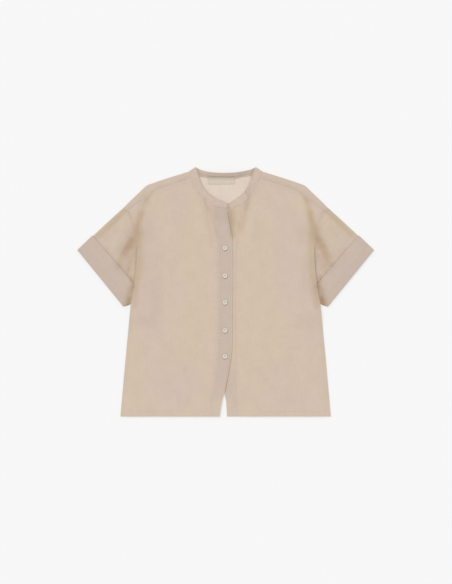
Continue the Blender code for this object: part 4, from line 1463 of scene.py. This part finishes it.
def make_stitches(fronts, plackets, thread):
    rows = []
    for side, _ in SIDES:
        edge, _, _, middle, _ = front_lines(side)
        hem_y = HEM_Y + HEM_STITCH
        hem = np.array([(edge[0][0] - side * HEM_STITCH_IN, hem_y), (middle[0][0], hem_y)])
        rows.append(on_face(cut(hem), fronts[side]))
        _, sewn, free = placket_edges(side)
        rows.append(on_face(cut(sewn - (side * EDGE_STITCH, 0.0), BARE_END), plackets[side]))
        if side == RIGHT:
            rows.append(on_face(cut(free - (EDGE_STITCH, 0.0), BARE_END), plackets[side]))
        rows.append(shoulder_wrap(side)[-3, :, :3] + (0.0, 0.0, THREAD_SUNK))
    front, top = [], []
    for section, height, run in band_rows():
        places = band_row(section, height, run)[:, :3]
        width = np.linalg.norm(np.subtract(section[2:4], section[:2]))
        for line, share in ((front, BAND_STITCH / width), (top, 1 - BAND_STITCH / width)):
            line.append(spread(places, [share])[0] + (0.0, 0.0, THREAD_SUNK))
    front_count = sum(BAND_COUNTS[key] for key in ("placket", "neck", "strip"))
    left_count = front_count + BAND_COUNTS["end"]
    for line in (front, top):
        rows.append(np.array(line[: front_count + 1]))
        rows.append(np.array(line[-left_count:]))
    starts, ends = [], []
    for seed, row in enumerate(rows):
        more_starts, more_ends = stitch_row(row, seed)
        starts += list(more_starts)
        ends += list(more_ends)
    piece = capsules("stitching", starts, ends, THREAD_RADIUS, thread)


def make_buttonholes(face, thread):
    """Close, short stitches round each slit, and a bar across its ends."""
    starts, ends = [], []

    def stitch(first_x, last_x, face_x, y, above):
        z = face(np.array([face_x]), np.array([y]))[0][0] + above
        starts.append(np.array([first_x, y, z]))
        ends.append(np.array([last_x, y, z]))

    for button_y in BUTTON_Y:
        middle = button_y - BUTTONHOLE_DROP
        for step in np.linspace(-0.5, 0.5, BUTTONHOLE_STITCHES):
            for sign in (-1, 1):
                inner, outer = (BUTTON_X + sign * off for off in BUTTONHOLE_EDGES)
                stitch(inner, outer, inner, middle + step * BUTTONHOLE_LENGTH, SIDE_LIFT)
        for end in (-0.5, 0.5):
            for step in np.linspace(-1, 1, BAR_STITCHES):
                y = middle + end * BUTTONHOLE_LENGTH + step * BUTTONHOLE_BAR / BAR_STITCHES
                stitch(BUTTON_X - BUTTONHOLE_BAR, BUTTON_X + BUTTONHOLE_BAR, BUTTON_X, y, BAR_LIFT)
    piece = capsules("buttonhole_stitches", starts, ends, BUTTONHOLE_THREAD, thread)


# ---- buttons

# Radius and height, from the rim of the dish's flat middle round to the underside
BUTTON_PROFILE = [
    (2.6, 1.58),
    (3.5, 1.75),
    (4.1, 2.15),
    (4.6, 2.38),
    (5.1, 2.40),
    (5.55, 2.22),
    (5.82, 1.85),
    (5.90, 1.35),
    (5.80, 0.85),
    (5.35, 0.35),
    (4.4, 0.05),
]
BUTTON_TURN_STEPS = 64
BUTTON_RADIUS = 5.9
SHARP_ANGLE = 35
DRILL_SIDES = 20
DRILL_DEPTH = 8.0

# The strands through each pair of holes, their height on the button and how far past a hole they go
STRANDS = (-0.3, 0.0, 0.3)
STRAND_HEIGHT = 1.55
STRAND_PAST = 0.3
STRAND_RADIUS = 0.24

# Painted shade: the dish's middle and the outer rim, where the button turns down, are painted darker
# than the ring between. Positions are shares of the radius.
BUTTON_PAINTED_SHADE = [
    (0.0, (0.66, 0.64, 0.61)),
    (0.42, (0.84, 0.82, 0.80)),
    (0.60, (1.0, 1.0, 1.0)),
    (0.84, (1.0, 1.0, 1.0)),
    (0.97, (0.70, 0.66, 0.60)),
]


def button_mesh(pearl):
    """A turned four-hole button, at the origin."""
    turned = bmesh.new()
    rings = []
    for radius, height in BUTTON_PROFILE:
        ring = []
        for angle in 2 * np.pi * np.arange(BUTTON_TURN_STEPS) / BUTTON_TURN_STEPS:
            place = (radius * np.cos(angle) * MM, radius * np.sin(angle) * MM, height * MM)
            ring.append(turned.verts.new(place))
        rings.append(ring)
    for low, high in zip(rings, rings[1:]):
        for k in range(BUTTON_TURN_STEPS):
            n = (k + 1) % BUTTON_TURN_STEPS
            turned.faces.new((low[k], high[k], high[n], low[n]))
    turned.faces.new(rings[0])
    turned.faces.new(rings[-1][::-1])
    bmesh.ops.recalc_face_normals(turned, faces=turned.faces)
    mesh = bpy.data.meshes.new("button_blank")
    turned.to_mesh(mesh)
    turned.free()
    blank = placed("button_blank", mesh)
    drill_mesh = bpy.data.meshes.new("button_drill")
    drill = bmesh.new()
    for x in (-BUTTON_HOLE_OUT, BUTTON_HOLE_OUT):
        for y in (-BUTTON_HOLE_OUT, BUTTON_HOLE_OUT):
            made = bmesh.ops.create_cone(
                drill,
                cap_ends=True,
                segments=DRILL_SIDES,
                radius1=BUTTON_HOLE_RADIUS * MM,
                radius2=BUTTON_HOLE_RADIUS * MM,
                depth=DRILL_DEPTH * MM,
            )
            bmesh.ops.translate(drill, verts=made["verts"], vec=(x * MM, y * MM, 0.0))
    drill.to_mesh(drill_mesh)
    drill.free()
    holes = placed("button_drill", drill_mesh)
    cutter = blank.modifiers.new("holes", "BOOLEAN")
    cutter.operation = "DIFFERENCE"
    cutter.solver = "EXACT"
    cutter.object = holes
    bpy.context.view_layer.update()
    evaluated = blank.evaluated_get(bpy.context.evaluated_depsgraph_get())
    result = bpy.data.meshes.new_from_object(evaluated)
    result.name = "button_turned"
    result.shade_smooth()
    result.set_sharp_from_angle(angle=np.radians(SHARP_ANGLE))
    result.materials.clear()
    result.materials.append(pearl)
    bpy.data.objects.remove(blank)
    bpy.data.objects.remove(holes)
    return result


def make_buttons(pearl, thread):
    mesh = button_mesh(pearl)
    starts, ends = [], []
    for number, (y, turn) in enumerate(zip(BUTTON_Y, BUTTON_TURNS), 1):
        button = placed(f"button_{number}_turned", mesh)
        button.location = (BUTTON_X * MM, y * MM, BUTTON_SEAT * MM)
        angle = np.radians(turn)
        button.rotation_euler = (0.0, 0.0, angle)
        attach(button, "root")
        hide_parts(f"button_{number}")
        along = np.array([np.cos(angle), np.sin(angle), 0.0])
        across = np.array([-np.sin(angle), np.cos(angle), 0.0])
        centre = np.array([BUTTON_X, y, BUTTON_SEAT + STRAND_HEIGHT])
        reach = along * (BUTTON_HOLE_OUT + STRAND_PAST)
        for hole in (-BUTTON_HOLE_OUT, BUTTON_HOLE_OUT):
            for strand in STRANDS:
                middle = centre + across * (hole + strand)
                starts.append(middle - reach)
                ends.append(middle + reach)
    piece = capsules("button_threads", starts, ends, STRAND_RADIUS, thread)


# ---- materials


def feed(socket, value):
    """Joins a socket to another node's output, or sets it to a value."""
    if isinstance(value, bpy.types.NodeSocket):
        socket.id_data.links.new(value, socket)
    else:
        socket.default_value = value


def add_node(tree, kind, *values, **named):
    """A new node. Values go to its first inputs, Capitalised_names to inputs, others to settings."""
    node = tree.nodes.new(kind)
    for name, value in named.items():
        if name[0].islower():
            setattr(node, name, value)
    for socket, value in zip(node.inputs, values):
        feed(socket, value)
    for name, value in named.items():
        if name[0].isupper():
            feed(node.inputs[name.replace("_", " ")], value)
    return node


def scaled(vector, across, along):
    """The coordinates, counted in the given sizes in millimetres."""
    sizes = (1 / (across * MM), 1 / (along * MM), 1.0)
    node = add_node(vector.id_data, "ShaderNodeVectorMath", vector, sizes, operation="MULTIPLY")
    return node.outputs[0]


def noise(vector, detail):
    node = add_node(vector.id_data, "ShaderNodeTexNoise", Vector=vector, Scale=1.0, Detail=detail)
    return node.outputs["Fac"]


def yarns(vector, direction):
    """Round yarns side by side, one for each unit of the coordinates."""
    node = add_node(
        vector.id_data, "ShaderNodeTexWave", bands_direction=direction,
        Vector=vector, Scale=np.pi / 10, Distortion=0.6,
    )
    return node.outputs["Fac"]


def combined(operation, first, second):
    return add_node(first.id_data, "ShaderNodeMath", first, second, operation=operation).outputs[0]


def ramp(value, stops):
    node = add_node(value.id_data, "ShaderNodeValToRGB", value)
    elements = node.color_ramp.elements
    elements.remove(elements[1])
    elements[0].position = stops[0][0]
    for position, _ in stops[1:]:
        elements.new(position)
    for element, (_, colour) in zip(elements, stops):
        element.color = (*colour, 1.0)
    return node.outputs[0]


def mixed(blend, factor, first, second):
    node = add_node(first.id_data, "ShaderNodeMix", data_type="RGBA", blend_type=blend)
    for socket, value in zip((node.inputs[0], node.inputs[6], node.inputs[7]), (factor, first, second)):
        feed(socket, value)
    return node.outputs[2]


def attribute(tree, name, output):
    return add_node(tree, "ShaderNodeAttribute", attribute_name=name).outputs[output]


def object_place(tree):
    return add_node(tree, "ShaderNodeTexCoord").outputs["Object"]


def bumped(shader, height, strength, depth):
    """The shader's normal follows a height, with the depth in millimetres."""
    bump = add_node(
        shader.id_data, "ShaderNodeBump", Strength=strength, Distance=depth * MM, Height=height
    )
    feed(shader.inputs["Normal"], bump.outputs[0])


def new_material(name, roughness, specular, sheen):
    material = bpy.data.materials.new(name)
    material.use_nodes = True
    shader = material.node_tree.nodes["Principled BSDF"]
    shader.inputs["Roughness"].default_value = roughness
    shader.inputs["Specular IOR Level"].default_value = specular
    shader.inputs["Sheen Weight"].default_value = sheen
    shader.inputs["Sheen Roughness"].default_value = 0.5
    return material, material.node_tree, shader


# The linen's yarns and the sizes of its streaks, slubs and clouds, across and along, in millimetres
YARN = 0.62
WARP_STREAKS = (0.7, 26.0)
WEFT_STREAKS = (22.0, 0.7)
SLUBS = (38.0, 1.5)
SLUB_WARPS = (1.6, 60.0)
CLOUDS = (34.0, 42.0)

# Its value, and what the streaks, slubs and clouds add to it
LINEN_VALUE = 0.78
STREAKS_ADD = 0.16
SLUBS_ADD = -0.035
CLOUDS_ADD = 0.10
YARN_RELIEF = 0.35

TAPE_TONES = [(0.3, (0.53, 0.461, 0.371)), (0.7, (0.595, 0.52, 0.426))]
SHELL_TONES = [(0.2, (0.62, 0.55, 0.45)), (0.6, (0.76, 0.70, 0.60)), (0.9, (0.71, 0.68, 0.63))]
BEIGE_THREAD = (0.56, 0.46, 0.37)
CREAM_THREAD = (0.56, 0.49, 0.40)
THREAD_DARKER = 0.86


def linen_material():
    """Sheer linen: uneven yarns both ways, slubs, a deeper colour where more plies lie, and painted
    light and shade.
    """
    material, tree, shader = new_material("linen", 0.9, 0.2, 0.12)
    grain = attribute(tree, "grain", "Vector")
    plies, painted_shade, tints = (attribute(tree, name, "Fac") for name in ("plies", "painted_shade", "tint"))
    warp, weft = (yarns(scaled(grain, YARN, YARN), direction) for direction in "XY")
    streaks = combined(
        "ADD", noise(scaled(grain, *WARP_STREAKS), 2.0), noise(scaled(grain, *WEFT_STREAKS), 2.0)
    )
    black, white = (0.0, 0.0, 0.0), (1.0, 1.0, 1.0)
    thick = ramp(noise(scaled(grain, *SLUBS), 1.0), [(0.60, black), (0.70, white)])
    thick_warps = ramp(noise(scaled(grain, *SLUB_WARPS), 1.0), [(0.62, black), (0.72, white)])
    slubs = combined("ADD", thick, thick_warps)
    clouds = noise(scaled(grain, *CLOUDS), 3.0)
    value = combined("ADD", combined("MULTIPLY", streaks, STREAKS_ADD), LINEN_VALUE)
    value = combined("ADD", value, combined("MULTIPLY", slubs, SLUBS_ADD))
    value = combined("ADD", value, combined("MULTIPLY", clouds, CLOUDS_ADD))
    depths = [ONE_PLY, TWO_PLIES, MANY_PLIES, IN_THE_SHADE]
    stops = [(number / PLIES_SHOWN, tone) for number, tone in enumerate(depths)]
    colour = ramp(combined("MULTIPLY", plies, 1 / PLIES_SHOWN), stops)
    tinted = ramp(tints, [(0.0, YELLOW_SHARE), (0.5, PLAIN_SHARE), (1.0, PINK_SHARE)])
    colour = mixed("MULTIPLY", 1.0, colour, tinted)
    # Painted shade: the colour is drawn towards a dark warm tone in folds, hollows and beside raised
    # edges
    colour = mixed("MIX", painted_shade, colour, (*PAINTED_SHADE_TONE, 1.0))
    toned = add_node(tree, "ShaderNodeHueSaturation", Value=value, Color=colour)
    feed(shader.inputs["Base Color"], toned.outputs[0])
    height = combined("MULTIPLY", combined("ADD", warp, weft), YARN_RELIEF)
    height = combined("ADD", combined("ADD", height, streaks), slubs)
    bumped(shader, height, 0.5, 0.12)
    return material


def tape_material():
    """Smooth woven tape, unprinted."""
    material, tree, shader = new_material("label_tape", 0.55, 0.35, 0.1)
    grain = attribute(tree, "grain", "Vector")
    streaks = noise(scaled(grain, 12.0, 0.4), 2.0)
    feed(shader.inputs["Base Color"], ramp(streaks, TAPE_TONES))
    bumped(shader, yarns(scaled(grain, 0.3, 0.3), "Y"), 0.4, 0.05)
    return material


def thread_material(name, colour):
    """Twisted sewing thread."""
    material, tree, shader = new_material(name, 0.6, 0.3, 0.1)
    twist = noise(scaled(object_place(tree), 0.5, 0.5), 2.0)
    dark = tuple(THREAD_DARKER * part for part in colour)
    feed(shader.inputs["Base Color"], ramp(twist, [(0.3, dark), (0.7, colour)]))
    bumped(shader, twist, 0.4, 0.05)
    return material


def pearl_material():
    """Cream shell with soft wavy bands, and painted shade in the dish's middle and at the rim."""
    material, tree, shader = new_material("pearl", 0.28, 0.5, 0.0)
    shader.inputs["Coat Weight"].default_value = 0.35
    shader.inputs["Coat Roughness"].default_value = 0.15
    place = object_place(tree)
    bands = add_node(
        tree, "ShaderNodeTexWave",
        Vector=scaled(place, 6.0, 14.0), Scale=0.6, Distortion=7.0, Detail=3.0,
    )
    colour = ramp(bands.outputs["Fac"], SHELL_TONES)
    per_radius = 1 / (BUTTON_RADIUS * MM)
    flat = add_node(
        tree, "ShaderNodeVectorMath", place, (per_radius, per_radius, 0.0), operation="MULTIPLY"
    )
    out = add_node(tree, "ShaderNodeVectorMath", flat.outputs[0], operation="LENGTH")
    # Painted shade in the dish's middle and at the rim
    colour = mixed("MULTIPLY", 1.0, colour, ramp(out.outputs["Value"], BUTTON_PAINTED_SHADE))
    feed(shader.inputs["Base Color"], colour)
    return material


# ---- stage

# The floor's tones and its glow, which keeps the shadows on it weak. It lies just under the cloth,
# and half its width, in metres, fills the frame in the low views too.
FLOOR_TONE = (0.411, 0.411, 0.411)
FLOOR_DARKER = 0.985
FLOOR_GLOW = 0.465
FLOOR_DROP = 0.1
FLOOR_REACH = 40.0

CAMERA_HEIGHT = 3447.0
CAMERA_LENS = 85.0
VIEW_X, VIEW_Y = 0.9, -1.6
SUN_STRENGTH = 1.78
SUN_TILT = (-26.0, -16.0)
SUN_ANGLE = 62.0
SKY_STRENGTH = 0.655


def make_stage():
    scene = bpy.context.scene
    scene.view_settings.view_transform = "Standard"
    mesh = bpy.data.meshes.new("floor")
    corners = [(-1, -1), (1, -1), (1, 1), (-1, 1)]
    places = [(x * FLOOR_REACH, y * FLOOR_REACH, -FLOOR_DROP * MM) for x, y in corners]
    mesh.from_pydata(places, [], [(0, 1, 2, 3)])
    material, tree, shader = new_material("floor", 0.95, 0.1, 0.0)
    grain = noise(scaled(object_place(tree), 3.0, 3.0), 2.0)
    tones = [(0.0, tuple(FLOOR_DARKER * part for part in FLOOR_TONE)), (1.0, FLOOR_TONE)]
    feed(shader.inputs["Base Color"], ramp(grain, tones))
    shader.inputs["Emission Color"].default_value = (1.0, 1.0, 1.0, 1.0)
    shader.inputs["Emission Strength"].default_value = FLOOR_GLOW
    mesh.materials.append(material)
    placed("floor", mesh)
    sun = placed("sun", bpy.data.lights.new("sun", "SUN"))
    sun.data.energy = SUN_STRENGTH
    sun.data.angle = np.radians(SUN_ANGLE)
    sun.rotation_euler = (np.radians(SUN_TILT[0]), np.radians(SUN_TILT[1]), 0.0)
    world = bpy.data.worlds.new("sky")
    world.use_nodes = True
    sky = world.node_tree.nodes["Background"]
    sky.inputs["Color"].default_value = (1.0, 1.0, 1.0, 1.0)
    sky.inputs["Strength"].default_value = SKY_STRENGTH
    scene.world = world
    camera = placed("camera", bpy.data.cameras.new("camera"))
    camera.data.lens = CAMERA_LENS
    camera.location = (VIEW_X * MM, VIEW_Y * MM, CAMERA_HEIGHT * MM)
    scene.camera = camera


# ---- the cuts

# What shows of each piece's cut: its width and length, all round on a tube, its area, and what it
# lies on. All are in metres.
Cut = namedtuple("Cut", "width length area rests_on")


def main():
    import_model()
    make_stage()
    linen = linen_material()
    tape = tape_material()
    beige_thread = thread_material("beige_thread", BEIGE_THREAD)
    cream_thread = thread_material("cream_thread", CREAM_THREAD)
    halves = back_half(RIGHT) + back_half(LEFT)
    back = cloth_piece("back_cloth", "back", halves, PLY, linen, faces_up=False)
    front_faces, placket_faces = {}, {}
    for side, word in SIDES:
        front_faces[side] = make_front(side, word, linen)
        placket_faces[side] = make_placket(side, word, linen)
        make_sleeve(side, word, linen)
        make_cuff(side, word, linen)
    make_collar_band(linen)
    make_label(tape)
    make_stitches(front_faces, placket_faces, beige_thread)
    make_buttonholes(placket_faces[RIGHT], beige_thread)
    make_buttons(pearl_material(), cream_thread)


main()
